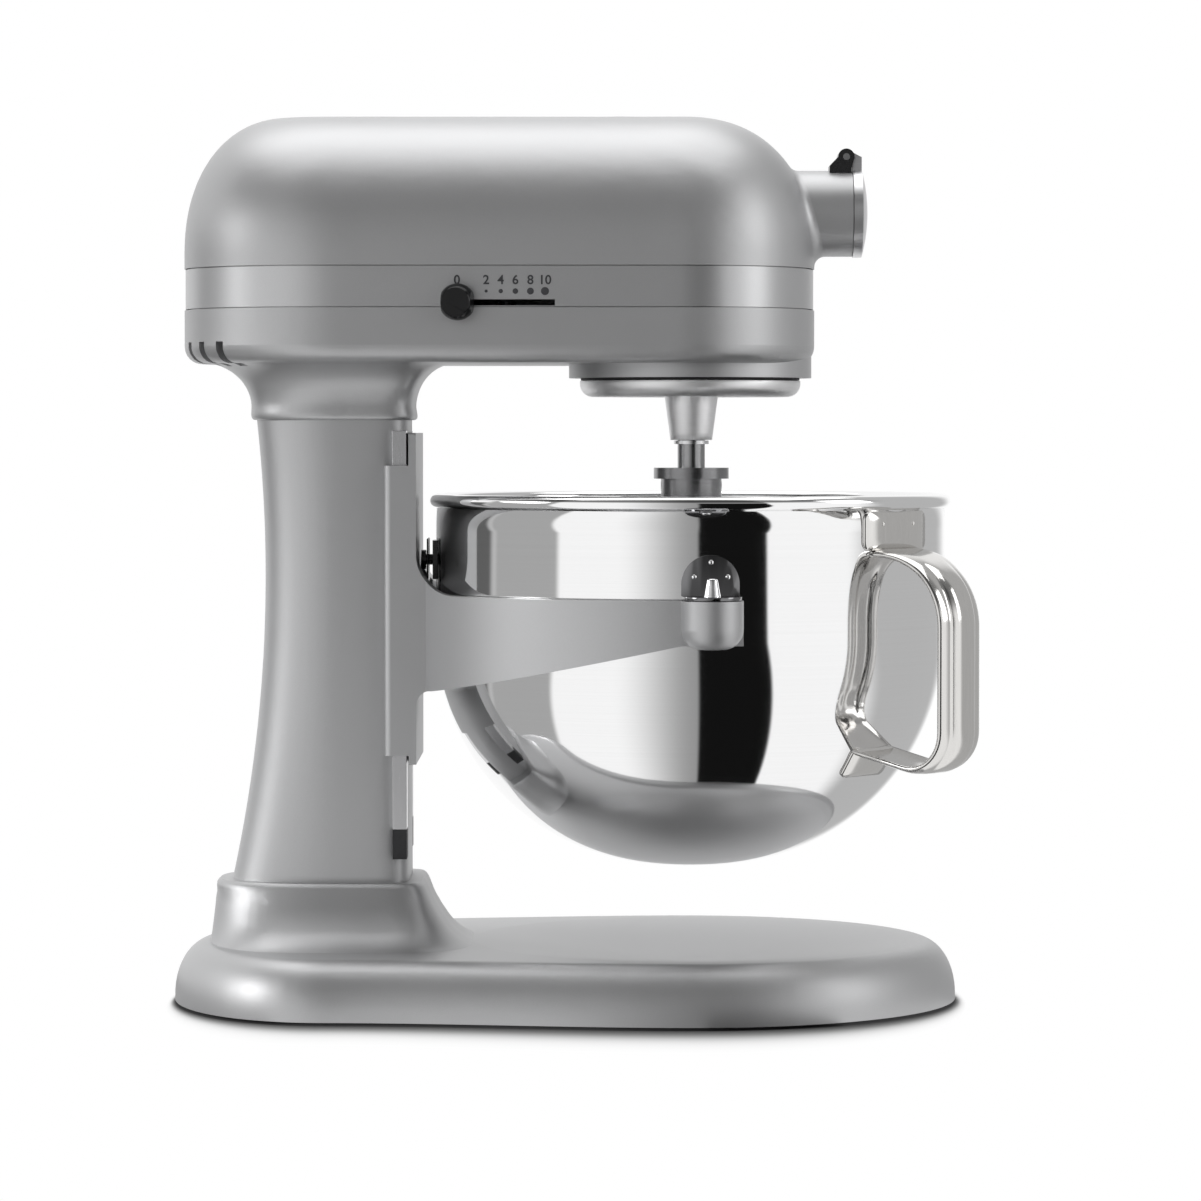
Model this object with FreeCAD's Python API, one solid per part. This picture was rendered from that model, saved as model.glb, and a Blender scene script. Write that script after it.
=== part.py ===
import FreeCAD, Part
import math
import os

Vector = FreeCAD.Vector
X_AXIS = Vector(1, 0, 0)
Y_AXIS = Vector(0, 1, 0)
Z_AXIS = Vector(0, 0, 1)

# Bowl-lift stand mixer, millimetres, +Z up, +X towards the attachment hub.
# Reaches are measured along X from the mixing axis, heights from the floor.

# Base and column
BASE_REAR_REACH = 240.5
BASE_FRONT_RADIUS = 124.0
BASE_REAR_HALF_WIDTH = 106.0
BASE_REAR_ROUNDING = 75.0
BASE_RIM_HEIGHT = 28.3
BASE_DISH_DEPTH = 8.5
BASE_WALL = 5.0
BASE_LIFT = 1.5
BASE_ROOF = 13.5
BASE_EDGE = 15.5
BASE_FALL = 24.5
PEDESTAL_HEIGHT = 57.6
PEDESTAL_LIP = 7.0
PEDESTAL_PLATE = 9.6
PEDESTAL_EDGE = 1.2
PEDESTAL_FLARE = 34.0
PEDESTAL_FOOT = 26.8
PEDESTAL_HOLLOW = 6.0
FOOT_RADIUS = 8.0
FOOT_HEIGHT = 4.0
COLUMN_HEIGHT = 213.4
COLUMN_FRONT_REACH = 130.4
COLUMN_FRONT_DEPTH = 29.6
COLUMN_WAIST_REACH = 198.0
COLUMN_WAIST_HEIGHT = 200.0
COLUMN_BOW_RADIUS = 650.0
COLUMN_HALF_WIDTH = 35.0
COLUMN_WALL = 5.0
COLUMN_PLATE = 9.0
SCREW_RADIUS = 3.0
SCREW_HEAD_RADIUS = 5.2
SCREW_HEAD_HEIGHT = 4.5
WAY_WIDTH = 6.5
WAY_STAND_OFF = 5.0
WAY_BOTTOM = 69.0
WAY_TOP = 266.0

# Head casing
HEAD_REAR_REACH = 235.5
HEAD_FRONT_REACH = 57.8
HEAD_HALF_WIDTH = 70.0
HEAD_REAR_ROUNDING = 70.0
HEAD_FRONT_ROUNDING = 60.0
NECK_MARGIN = 2.5
NECK_EDGE = 1.5
NECK_STRAIGHT = 6.0
NECK_FLARE = 20.5
NECK_FRONT_SHARE = -0.22
LOWER_HOUSING_HEIGHT = 50.8
BELLY_HEIGHT = 26.0
BELLY_ROUND = 8.0
BAND_HEIGHT = 19.2
BAND_INSET = 0.5
SEAM = 0.45
COVER_HEIGHT = 70.4
COVER_STRAIGHT = 6.4
COVER_REAR_CROWN = 49.0
COVER_FRONT_CROWN = 57.0
COVER_SIDE_CROWN = 60.0
HEAD_WALL = 4.0
FLOOR_THICKNESS = 6.8
NOSE_RADIUS = 56.5
NOSE_DROP = 6.5
VENT_COUNT = 3
VENT_WIDTH = 5.0
VENT_DROP = 4.0
VENT_DEPTH = 15.0
VENT_START = 20.0
VENT_STEP = 12.0
GLAND_RADIUS = 7.0

# Attachment hub
HUB_HEIGHT = 367.0
HUB_RADIUS = 20.0
HUB_REACH = 75.2
HUB_BORE_RADIUS = 16.2
HUB_BORE_DEPTH = 30.5
HUB_BUSH_RADIUS = 12.0
HUB_BUSH_LENGTH = 17.0
HUB_SHAFT_RADIUS = 8.0
HUB_SOCKET_SIDE = 9.6
HUB_FILLET = 5.0
CAP_THICKNESS = 7.0
HINGE_REACH = 72.4
HINGE_RISE = 26.2
HINGE_PIN_RADIUS = 1.6
KNUCKLE_RADIUS = 3.8
KNUCKLE_HALF_WIDTH = 3.7
EAR_THICKNESS = 3.2
EAR_FOOT = 4.0
THUMB_SCREW_REACH = 66.0
THUMB_KNOB_RADIUS = 9.0
THUMB_KNOB_LENGTH = 12.0

# Gear train
GEAR_MODULE = 1.5
RING_TEETH = 56
PINION_TEETH = 16
RING_GEAR_RADIUS = 50.0
RING_GEAR_HEIGHT = 8.0
TRAIN_MODULE = 1.75
CENTRE_TEETH = 52
TRAIN_PINION_TEETH = 20
TRAIN_GEAR_HEIGHT = 10.0
BEVEL_TEETH = 32
BEVEL_PINION_TEETH = 16
BEVEL_FACE = 8.0
WHEEL_TEETH = 26
WHEEL_SIDE_OFFSET = 28.0
WHEEL_FACE = 5.4
WORM_STARTS = 2
WORM_LENGTH = 31.0
PLANET_SHAFT_RADIUS = 8.0
WHEEL_SHAFT_RADIUS = 7.0
CARRIER_RADIUS = 51.4
CARRIER_THICKNESS = 7.4
CARRIER_EDGE = 6.0
BOSS_RADIUS = 12.4
BOSS_END_RADIUS = 9.6
BOSS_LENGTH = 20.0
BEATER_SHAFT_RADIUS = 6.3
BEATER_SHAFT_END = 236.0
BEATER_PIN_RADIUS = 2.0
HOOK_FLANGE_RADIUS = 17.3
HOOK_HUB_RADIUS = 14.0
HOOK_HUB_TOP = 249.0
HOOK_HUB_LENGTH = 26.0
HOOK_ROD_RADIUS = 6.0
HOOK_OUT_RADIUS = 40.0
HOOK_BELLY_RADIUS = 42.0

# Motor
MOTOR_HEIGHT = 356.0
MOTOR_SHAFT_RADIUS = 5.0
STATOR_RADIUS = 42.0
STATOR_LENGTH = 60.0
STATOR_REAR_REACH = 195.0
ROTOR_RADIUS = 18.0
AIR_GAP = 1.0
WINDING_LENGTH = 8.0
COMMUTATOR_LENGTH = 10.0
COMMUTATOR_RADIUS = 12.0
FAN_RADIUS = 32.0
FAN_LENGTH = 9.0
BRACKET_THICKNESS = 6.0
BEARING_RADIUS = 11.0

# Speed control
SPEED_SLOT_CENTRE = 86.8
SPEED_HALF_TRAVEL = 19.9
SPEED_HEIGHT = 324.0
SPEED_PIVOT_OFFSET = 44.0
SPEED_LEVER_THICKNESS = 2.0
SPEED_LEVER_WIDTH = 7.0
SPEED_SLOT_HEIGHT = 2.8
SPEED_PIVOT_RADIUS = 3.0
SPEED_TAIL = 12.0
SPEED_LINK_LENGTH = 72.0
KNOB_WIDTH = 13.6
KNOB_HEIGHT = 16.8
KNOB_DEPTH = 11.0
KNOB_STAND_OFF = 3.2

# Bowl and carriage
BOWL_RADIUS = 118.6
BOWL_BOTTOM = 64.4
BOWL_TOP = 233.5
BOWL_CORNER_RADIUS = 108.0
BOWL_WALL = 1.2
RIM_RADIUS = 3.3
BRACKET_REACH = 7.5
BRACKET_HALF_WIDTH = 13.0
BRACKET_TOP = 211.0
BRACKET_SHEET = 1.6
PAD_TOP = 191.0
PAD_HEIGHT = 21.5
PAD_RADIUS = 13.8
PAD_ROUND = 9.0
PAD_OFFSET = 130.3
PIN_RADIUS = 4.2
PIN_HEIGHT = 10.0
ARM_GAP = 3.0
ARM_THICKNESS = 8.6
ARM_ROOT_BOTTOM = 147.0
ARM_END_BOTTOM = 171.0
ARM_SWEEP = 18.0
ARM_LOW_SWEEP = 7.0
SLIDE_PLATE = 3.4
SLIDE_PLATE_BOTTOM = 113.0
SLIDE_PLATE_TOP = 265.0
SLIDE_BOTTOM = 117.0
SLIDE_TOP = 250.0
SLIDE_CHEEK = 5.5
SLIDE_HOOK = 3.2
LATCH_SHEET = 0.8
REAR_PIN_RADIUS = 2.5
LIFT_TRAVEL = 34.0
HANDLE_ANGLE = -39.0
HANDLE_REACH = 155.0
HANDLE_TOP = 212.0
HANDLE_BOTTOM = 104.0
HANDLE_WIDTH = 30.0
HANDLE_SHEET = 2.0
HANDLE_TOP_BEND = 34.0
HANDLE_LOW_BEND = 18.0
HANDLE_TAB_WIDTH = 48.0

# Bowl lift
LIFT_REACH = 156.0
LIFT_HEIGHT = 155.0
LIFT_SWING = 100.0
LIFT_SHAFT_RADIUS = 6.0
LIFT_BUSH_RADIUS = 8.5
LIFT_BOSS_RADIUS = 12.0
LIFT_ROLLER_RADIUS = 3.0
LIFT_ROLLER_PLAY = 1.2
LIFT_HANDLE_LENGTH = 92.0
LIFT_HANDLE_WIDTH = 12.0
LIFT_HANDLE_THICKNESS = 6.0
LIFT_GRIP_RADIUS = 9.0
LUG_HALF_WIDTH = 4.0

# Clearances
RUNNING = 0.05
SLIDING = 0.3
SLIDE_GAP = 0.7
NOSE_GAP = 1.3
BUSH_WALL = 3.0
BUSH_FLOOR = 1.2

# Heights and places worked out from the sizes above
HANDLE_TURN = math.radians(HANDLE_ANGLE)
HANDLE_FRONT = HANDLE_REACH * math.cos(HANDLE_TURN) + HANDLE_WIDTH / 2 * abs(math.sin(HANDLE_TURN))
MIX_X = (BASE_REAR_REACH - max(BASE_FRONT_RADIUS, HANDLE_FRONT)) / 2
NECK_Z = PEDESTAL_HEIGHT + COLUMN_HEIGHT
BELLY_Z = NECK_Z + BELLY_HEIGHT
BAND_Z = NECK_Z + LOWER_HOUSING_HEIGHT
COVER_Z = BAND_Z + BAND_HEIGHT
TOP_Z = COVER_Z + COVER_HEIGHT
NOSE_Z = BELLY_Z - NOSE_DROP
FLOOR_Z = BELLY_Z + FLOOR_THICKNESS
COLUMN_FRONT_X = MIX_X - COLUMN_FRONT_REACH
COLUMN_X = COLUMN_FRONT_X - COLUMN_FRONT_DEPTH
HEAD_REAR_X = MIX_X - HEAD_REAR_REACH
HEAD_FRONT_X = MIX_X + HEAD_FRONT_REACH
HUB_FACE_X = MIX_X + HUB_REACH
HUB_BORE_X = HUB_FACE_X - HUB_BORE_DEPTH
HUB_BUSH_X = HUB_BORE_X - HUB_BUSH_LENGTH
HINGE_X = MIX_X + HINGE_REACH
HINGE_Z = HUB_HEIGHT + HINGE_RISE
THUMB_X = MIX_X + THUMB_SCREW_REACH
BEATER_OFFSET = GEAR_MODULE * (RING_TEETH - PINION_TEETH) / 2
BEATER_Y = -BEATER_OFFSET
TRAIN_DISTANCE = TRAIN_MODULE * (CENTRE_TEETH + TRAIN_PINION_TEETH) / 2
WHEEL_X = MIX_X - math.sqrt(TRAIN_DISTANCE ** 2 - WHEEL_SIDE_OFFSET ** 2)
WHEEL_RADIUS = GEAR_MODULE * WHEEL_TEETH / 2
WORM_RADIUS = WHEEL_SIDE_OFFSET - WHEEL_RADIUS
WORM_PITCH = math.pi * GEAR_MODULE
CARRIER_TOP = NOSE_Z - NOSE_GAP
CARRIER_BOTTOM = CARRIER_TOP - CARRIER_THICKNESS
PINION_SEAT = CARRIER_TOP - 1
BOSS_END = CARRIER_BOTTOM - BOSS_LENGTH
RING_TOP = NOSE_Z + 1 + RING_GEAR_HEIGHT
BUSH_TOP = FLOOR_Z + 2
TRAIN_Z = BUSH_TOP + SLIDING
TRAIN_TOP = TRAIN_Z + TRAIN_GEAR_HEIGHT
BRIDGE_Z = TRAIN_TOP + 12
STATOR_X = MIX_X - STATOR_REAR_REACH
STATOR_END = STATOR_X + STATOR_LENGTH
FAN_X = STATOR_END + WINDING_LENGTH + 1
FRONT_BRACKET_X = FAN_X + FAN_LENGTH + 2
COMMUTATOR_X = STATOR_X - WINDING_LENGTH - COMMUTATOR_LENGTH - 1
REAR_BRACKET_X = COMMUTATOR_X - BRACKET_THICKNESS
SPEED_X = MIX_X - SPEED_SLOT_CENTRE
SPEED_LENGTH = SPEED_PIVOT_OFFSET + HEAD_HALF_WIDTH + KNOB_DEPTH
SPEED_SWING = math.degrees(math.asin(SPEED_HALF_TRAVEL / SPEED_LENGTH))
SLIDE_X = COLUMN_FRONT_X + SLIDE_GAP
SLIDE_FRONT = SLIDE_X + SLIDE_PLATE
WAY_HALF_WIDTH = COLUMN_HALF_WIDTH + WAY_STAND_OFF
SLIDE_HALF_WIDTH = WAY_HALF_WIDTH + SLIDING + SLIDE_CHEEK
WAY_STOP_TOP = SLIDE_BOTTOM - LIFT_TRAVEL - SLIDING
ARM_INNER = BOWL_RADIUS + ARM_GAP
ARM_ROOT_TOP = PAD_TOP + ARM_SWEEP
ARM_OUTER = ARM_INNER + ARM_THICKNESS
BRACKET_X = MIX_X + BRACKET_REACH
BRACKET_Z = PAD_TOP + SLIDING
YOKE_SEAT_Z = PAD_TOP - 1
LIFT_X = MIX_X - LIFT_REACH
CRANK_RADIUS = LIFT_TRAVEL / 2 / math.sin(math.radians(LIFT_SWING / 2))
LUG_Z = LIFT_HEIGHT + LIFT_TRAVEL / 2
CRANK_REST_X = LIFT_X - math.sqrt(CRANK_RADIUS ** 2 - (LIFT_TRAVEL / 2) ** 2)
LUG_HALF_HEIGHT = LIFT_ROLLER_RADIUS + LIFT_ROLLER_PLAY + 4
LIFT_OUTSIDE_Y = COLUMN_HALF_WIDTH + 2
RING_POINTS = 64


def box(low, high):
    """A block between two corners."""
    size = high - low
    return Part.makeBox(size.x, size.y, size.z, low)


def rod(radius, start, end):
    """A round bar between two points."""
    path = end - start
    return Part.makeCylinder(radius, path.Length, start, path)


def disc(radius, x, y, low, high):
    """An upright round bar."""
    return Part.makeCylinder(radius, high - low, Vector(x, y, low))


def tube(outer, inner, start, end):
    """A round bar with a bore."""
    return rod(outer, start, end).cut(rod(inner, start, end))


def turned(x, y, points):
    """A solid turned about an upright axis from (radius, height) points."""
    corners = [Vector(radius, 0, height) for radius, height in points]
    face = Part.Face(Part.makePolygon(corners + corners[:1]))
    solid = face.revolve(Vector(0, 0, 0), Z_AXIS, 360)
    solid.translate(Vector(x, y, 0))
    return solid


def prism(points, depth):
    """A polygon pushed along a vector."""
    return Part.Face(Part.makePolygon(points + points[:1])).extrude(depth)


def join(shapes):
    """One solid from touching solids."""
    whole = shapes[0].fuse(shapes[1:])
    return whole.removeSplitter()


def group(shapes):
    """Separate solids kept in one node."""
    return Part.makeCompound(shapes)


def mirrored(shape):
    """The same solid on the other side of the head."""
    return shape.mirror(Vector(0, 0, 0), Y_AXIS)


def smooth_ring(points):
    """A closed smooth wire through points."""
    curve = Part.BSplineCurve()
    curve.interpolate(Points=points, PeriodicFlag=True)
    return Part.Wire(curve.toShape())


def ring_loft(rings):
    """A smooth solid through rings of matching points."""
    return Part.makeLoft([smooth_ring(ring) for ring in rings], True, False)


def ray_angles():
    """Directions shared by all the rings."""
    return [2 * math.pi * step / RING_POINTS for step in range(RING_POINTS)]


def edge_point(inside, x, angle, z):
    """Where a ray from (x, 0) leaves an outline."""
    near = 0.0
    far = 2 * (BASE_REAR_REACH + BASE_FRONT_RADIUS)
    for _ in range(44):
        middle = (near + far) / 2
        if inside(x + middle * math.cos(angle), middle * math.sin(angle)):
            near = middle
        else:
            far = middle
    return Vector(x + near * math.cos(angle), near * math.sin(angle), z)


def oval_half_width(x, centre, rounding, half_width):
    """Half width of a half oval that ends at rounding from its centre."""
    share = min(1.0, abs(x - centre) / rounding)
    return half_width * math.sqrt(1 - share ** 2)


def head_ring(rear, front, side, z, centre=None):
    """The head's plan outline, drawn in at its rear, front and sides."""
    rear_centre = HEAD_REAR_X + HEAD_REAR_ROUNDING
    front_centre = HEAD_FRONT_X - HEAD_FRONT_ROUNDING
    half_width = HEAD_HALF_WIDTH - side

    def inside(x, y):
        if x < rear_centre:
            width = oval_half_width(x, rear_centre, HEAD_REAR_ROUNDING - rear, half_width)
        elif x > front_centre:
            width = oval_half_width(x, front_centre, HEAD_FRONT_ROUNDING - front, half_width)
        else:
            width = half_width
        return abs(y) < width

    middle = (rear_centre + front_centre) / 2 if centre is None else centre
    return [edge_point(inside, middle, angle, z) for angle in ray_angles()]


def base_ring(inset, height):
    """The base's plan outline, drawn in all round."""
    rear_centre = MIX_X - BASE_REAR_REACH + BASE_REAR_ROUNDING
    rear_width = BASE_REAR_HALF_WIDTH - inset
    front_width = BASE_FRONT_RADIUS - inset

    def inside(x, y):
        if x < rear_centre:
            width = oval_half_width(x, rear_centre, BASE_REAR_ROUNDING - inset, rear_width)
        elif x > MIX_X:
            width = oval_half_width(x, MIX_X, front_width, front_width)
        else:
            share = (x - rear_centre) / (MIX_X - rear_centre)
            ease = share * share * (3 - 2 * share)
            width = rear_width + (front_width - rear_width) * ease
        return abs(y) < width

    return [edge_point(inside, COLUMN_X, angle, height) for angle in ray_angles()]


def power(value, exponent):
    """A power that keeps the sign."""
    return math.copysign(abs(value) ** exponent, value)


def column_ring(height, grow, z=None, front_share=0.0):
    """The column's D section at a height, grown all round and more to the front."""
    waist = COLUMN_WAIST_REACH + (height - COLUMN_WAIST_HEIGHT) ** 2 / (2 * COLUMN_BOW_RADIUS)
    rear_depth = waist - COLUMN_FRONT_REACH - COLUMN_FRONT_DEPTH
    points = []
    for angle in ray_angles():
        bend = 7.0 if math.cos(angle) > 0 else 2.6
        depth = COLUMN_FRONT_DEPTH if math.cos(angle) > 0 else rear_depth
        spread = grow * (1 + front_share * ((1 + math.cos(angle)) / 2) ** 1.5)
        x = COLUMN_X + (depth + spread) * power(math.cos(angle), 2 / bend)
        y = (COLUMN_HALF_WIDTH + spread) * power(math.sin(angle), 2 / bend)
        points.append(Vector(x, y, height if z is None else z))
    return points


def screw(x, y, low, high):
    """A cap screw with its head at the low end."""
    shank = disc(SCREW_RADIUS, x, y, low, high)
    head = disc(SCREW_HEAD_RADIUS, x, y, low - SCREW_HEAD_HEIGHT, low)
    return join([shank, head])


def stand_screw_places():
    """Four screws in the column's end plates."""
    across = COLUMN_HALF_WIDTH / 2
    front = COLUMN_FRONT_DEPTH / 2
    return [(COLUMN_X + x, y) for x in (-front, front) for y in (-across, across)]


def foot_places():
    """Feet under the rim of the base."""
    ring = BASE_FRONT_RADIUS - 18
    places = [(MIX_X + ring * math.cos(math.radians(a)), ring * math.sin(math.radians(a)))
              for a in (-62, 0, 62)]
    rear = MIX_X - BASE_REAR_REACH + BASE_REAR_ROUNDING - 15
    side = BASE_REAR_HALF_WIDTH - 24
    return places + [(rear, -side), (rear, side)]


def pedestal():
    """The pedestal with its hollow flare, which sinks into the plate."""
    lip = column_ring(PEDESTAL_HEIGHT, PEDESTAL_LIP, PEDESTAL_HEIGHT - PEDESTAL_EDGE)
    ridge = base_ring(BASE_EDGE, BASE_RIM_HEIGHT)
    rings = [column_ring(PEDESTAL_HEIGHT, PEDESTAL_LIP - PEDESTAL_EDGE), lip]
    for share in (0.08, 0.18, 0.30, 0.44, 0.60, 0.79, 1.0):
        ring = []
        for top, rim in zip(lip, ridge):
            out = Vector(rim.x - top.x, rim.y - top.y, 0)
            reach = min(PEDESTAL_FLARE, 0.9 * out.Length)
            bend = 1.2 + 1.7 * reach / PEDESTAL_FLARE
            spot = top + out.normalize() * reach * share
            spot.z = PEDESTAL_FOOT + (top.z - PEDESTAL_FOOT) * (1 - share) ** bend
            ring.append(spot)
        rings.append(ring)
    return ring_loft(rings)


def base_plate():
    """The base's plate: a rounded rim and a shallow dish under the bowl."""
    rings = []
    for step in range(10):
        turn = math.radians(10 * step)
        inset = BASE_EDGE * (1 - math.sin(turn))
        rings.append(base_ring(inset, BASE_RIM_HEIGHT - BASE_FALL * (1 - math.cos(turn))))
    rings.append(base_ring(0.0, BASE_LIFT))
    return ring_loft(rings).cut(base_dish())


def base_dish():
    """The space above the dish, round the bowl's axis."""
    top = BASE_RIM_HEIGHT + 0.2
    radius = BASE_FRONT_RADIUS - 14
    points = []
    for step in range(13):
        reach = step / 12
        drop = (BASE_DISH_DEPTH + 0.2) * (1 - reach ** 2) ** 2
        points.append(Vector(MIX_X + radius * reach, 0, top - drop))
    curve = Part.BSplineCurve()
    curve.interpolate(points)
    above = Vector(0, 0, 20)
    corners = [points[-1], points[-1] + above, Vector(MIX_X, 0, top + 20), points[0]]
    lines = [Part.makeLine(a, b) for a, b in zip(corners, corners[1:])]
    face = Part.Face(Part.Wire([curve.toShape()] + lines))
    return face.revolve(Vector(MIX_X, 0, 0), Z_AXIS, 360)


def make_base():
    """Cast base: pedestal, rim and a shallow dish under the bowl."""
    solid = join([base_plate(), pedestal()])
    solid = solid.cut(base_cavity())
    posts = [disc(FOOT_RADIUS, x, y, FOOT_HEIGHT, BASE_ROOF + 1) for x, y in foot_places()]
    solid = join([solid] + posts)
    for x, y in stand_screw_places():
        solid = solid.cut(disc(SCREW_RADIUS, x, y, 0, PEDESTAL_HEIGHT + 1))
    return solid


def base_cavity():
    """Hollow underside of the base: a shallow tray and the room inside the pedestal."""
    roof = PEDESTAL_HEIGHT - PEDESTAL_PLATE
    tray = ring_loft([base_ring(BASE_WALL, BASE_LIFT - 1), base_ring(BASE_WALL + 8, BASE_ROOF)])
    low = column_ring(PEDESTAL_HEIGHT, PEDESTAL_HOLLOW, BASE_ROOF - 1)
    tower = ring_loft([low, column_ring(PEDESTAL_HEIGHT, -1.0, roof)])
    return join([tray, tower])


def make_base_feet():
    """Rubber feet under their posts."""
    return group([disc(FOOT_RADIUS, x, y, 0, FOOT_HEIGHT) for x, y in foot_places()])


def column_body(grow, low, high):
    """The column's bowed shape between two heights."""
    count = 9
    heights = [low + (high - low) * step / (count - 1) for step in range(count)]
    return ring_loft([column_ring(height, grow) for height in heights])


def make_column():
    """Hollow column with end plates, a front slot and a boss for the lift shaft."""
    solid = column_body(0, PEDESTAL_HEIGHT, NECK_Z)
    hollow = column_body(-COLUMN_WALL, PEDESTAL_HEIGHT + COLUMN_PLATE, NECK_Z - COLUMN_PLATE)
    boss = rod(LIFT_BOSS_RADIUS, Vector(LIFT_X, 20, LIFT_HEIGHT),
               Vector(LIFT_X, COLUMN_HALF_WIDTH - 1, LIFT_HEIGHT))
    solid = join([solid.cut(hollow), boss])
    bore = rod(LIFT_BUSH_RADIUS, Vector(LIFT_X, 10, LIFT_HEIGHT),
               Vector(LIFT_X, COLUMN_HALF_WIDTH + 2, LIFT_HEIGHT))
    slot_room = LUG_HALF_HEIGHT + 2 * SLIDING
    slot_half = LUG_HALF_WIDTH + 2 * SLIDING
    slot = box(Vector(COLUMN_FRONT_X - COLUMN_WALL - 3, -slot_half, LUG_Z - LIFT_TRAVEL - slot_room),
               Vector(COLUMN_FRONT_X + 3, slot_half, LUG_Z + slot_room))
    solid = solid.cut([bore, slot])
    for x, y in stand_screw_places():
        solid = solid.cut(disc(SCREW_RADIUS, x, y, PEDESTAL_HEIGHT - 1, NECK_Z + 1))
    return solid


def make_column_screws():
    """Screws up through the pedestal into the column."""
    low = PEDESTAL_HEIGHT - PEDESTAL_PLATE
    return group([screw(x, y, low, PEDESTAL_HEIGHT + COLUMN_PLATE) for x, y in stand_screw_places()])


def make_neck_screws():
    """Screws up through the column's top into the neck."""
    low = NECK_Z - COLUMN_PLATE
    return group([screw(x, y, low, NECK_Z + COLUMN_PLATE) for x, y in stand_screw_places()])


def way_bar(low, high, margin):
    """One guide bar on the column's front corner."""
    bar = box(Vector(COLUMN_FRONT_X - WAY_WIDTH - margin, COLUMN_HALF_WIDTH - 10, low),
              Vector(COLUMN_FRONT_X - margin, WAY_HALF_WIDTH, high))
    return bar.cut(column_body(0, PEDESTAL_HEIGHT, NECK_Z))


def make_column_ways():
    """The two guide bars that the bowl carriage runs on."""
    bar = way_bar(WAY_STOP_TOP, WAY_TOP, 0.5)
    return group([bar, mirrored(bar)])


def make_way_stops():
    """Buffers at the lower ends of the guide bars."""
    stop = way_bar(WAY_BOTTOM, WAY_STOP_TOP, 0.5)
    return group([stop, mirrored(stop)])


def housing_outer():
    """Outside of the lower housing: a hollow neck flare under a rounded belly."""
    rings = [column_ring(NECK_Z, NECK_MARGIN - NECK_EDGE)]
    rings.append(column_ring(NECK_Z, NECK_MARGIN, NECK_Z + NECK_EDGE))
    full_turn = math.radians(82)
    height = BELLY_HEIGHT + 0.5 - NECK_STRAIGHT
    for step in range(8):
        turn = full_turn * step / 7
        out = NECK_FLARE * (1 - math.cos(turn)) / (1 - math.cos(full_turn))
        rise = NECK_STRAIGHT + height * math.sin(turn) / math.sin(full_turn)
        rings.append(column_ring(NECK_Z, NECK_MARGIN + out, NECK_Z + rise, NECK_FRONT_SHARE))
    belly = []
    for step in range(7):
        turn = math.radians(15 * step)
        inset = BELLY_ROUND * (1 - math.sin(turn))
        belly.append(head_ring(inset, inset, inset, BELLY_Z + BELLY_ROUND * (1 - math.cos(turn))))
    wall = ring_loft([belly[-1], head_ring(0, 0, 0, BAND_Z)])
    return join([ring_loft(rings), ring_loft(belly), wall])


def housing_cavity():
    """Hollow of the lower housing: a tapered tray under straight walls."""
    wide = head_ring(HEAD_WALL + 8, HEAD_WALL + 8, HEAD_WALL + 8, FLOOR_Z)
    middle = head_ring(HEAD_WALL, HEAD_WALL, HEAD_WALL, FLOOR_Z + 9)
    top = head_ring(HEAD_WALL, HEAD_WALL, HEAD_WALL, BAND_Z + 1)
    return join([ring_loft([wide, middle]), ring_loft([middle, top])])


def make_lower_housing():
    """Lower half of the head: neck, belly floor and gear-case nose."""
    solid = housing_outer()
    nose = disc(NOSE_RADIUS, MIX_X, 0, NOSE_Z, FLOOR_Z)
    solid = join([solid, nose])
    cavity = housing_cavity()
    neck_hollow = ring_loft([column_ring(NECK_Z, -6, NECK_Z + COLUMN_PLATE),
                             column_ring(NECK_Z, -4, BELLY_Z - 2)])
    gear_room = disc(RING_GEAR_RADIUS, MIX_X, 0, NOSE_Z - 1, RING_TOP)
    bush_bore = disc(PLANET_SHAFT_RADIUS + 4, MIX_X, 0, NOSE_Z, FLOOR_Z + 1)
    wheel_bore = disc(WHEEL_SHAFT_RADIUS + BUSH_WALL, WHEEL_X, WHEEL_SIDE_OFFSET, FLOOR_Z - 4, FLOOR_Z + 1)
    pivot_bore = disc(SPEED_PIVOT_RADIUS, SPEED_X, SPEED_PIVOT_OFFSET, FLOOR_Z - 4, FLOOR_Z + 1)
    solid = solid.cut([cavity, neck_hollow, gear_room, bush_bore, wheel_bore, pivot_bore])
    solid = solid.cut([gland_bore()] + vent_slots())
    for x, y in stand_screw_places():
        solid = solid.cut(disc(SCREW_RADIUS, x, y, NECK_Z - 1, NECK_Z + COLUMN_PLATE + 1))
    return solid


def vent_slots():
    """Cooling slots spread round the head's rear corner."""
    centre = HEAD_REAR_X + HEAD_REAR_ROUNDING
    slots = []
    for side in (-1, 1):
        for index in range(VENT_COUNT):
            slot = box(Vector(-HEAD_REAR_ROUNDING - 3, -VENT_WIDTH / 2, BELLY_Z - VENT_DROP),
                       Vector(-HEAD_REAR_ROUNDING + VENT_DEPTH, VENT_WIDTH / 2, FLOOR_Z + 3))
            slot.rotate(Vector(0, 0, 0), Z_AXIS, side * (VENT_START + VENT_STEP * index))
            slot.translate(Vector(centre, 0, 0))
            slots.append(slot)
    return slots


def gland_points():
    """Axis of the cord gland in the housing's far rear wall."""
    x = HEAD_REAR_X + HEAD_REAR_ROUNDING - 10
    z = FLOOR_Z + 9
    return Vector(x, HEAD_HALF_WIDTH - 16, z), Vector(x, HEAD_HALF_WIDTH + 3, z)


def gland_bore():
    """Hole for the cord gland."""
    start, end = gland_points()
    return rod(GLAND_RADIUS, start, end)


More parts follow.
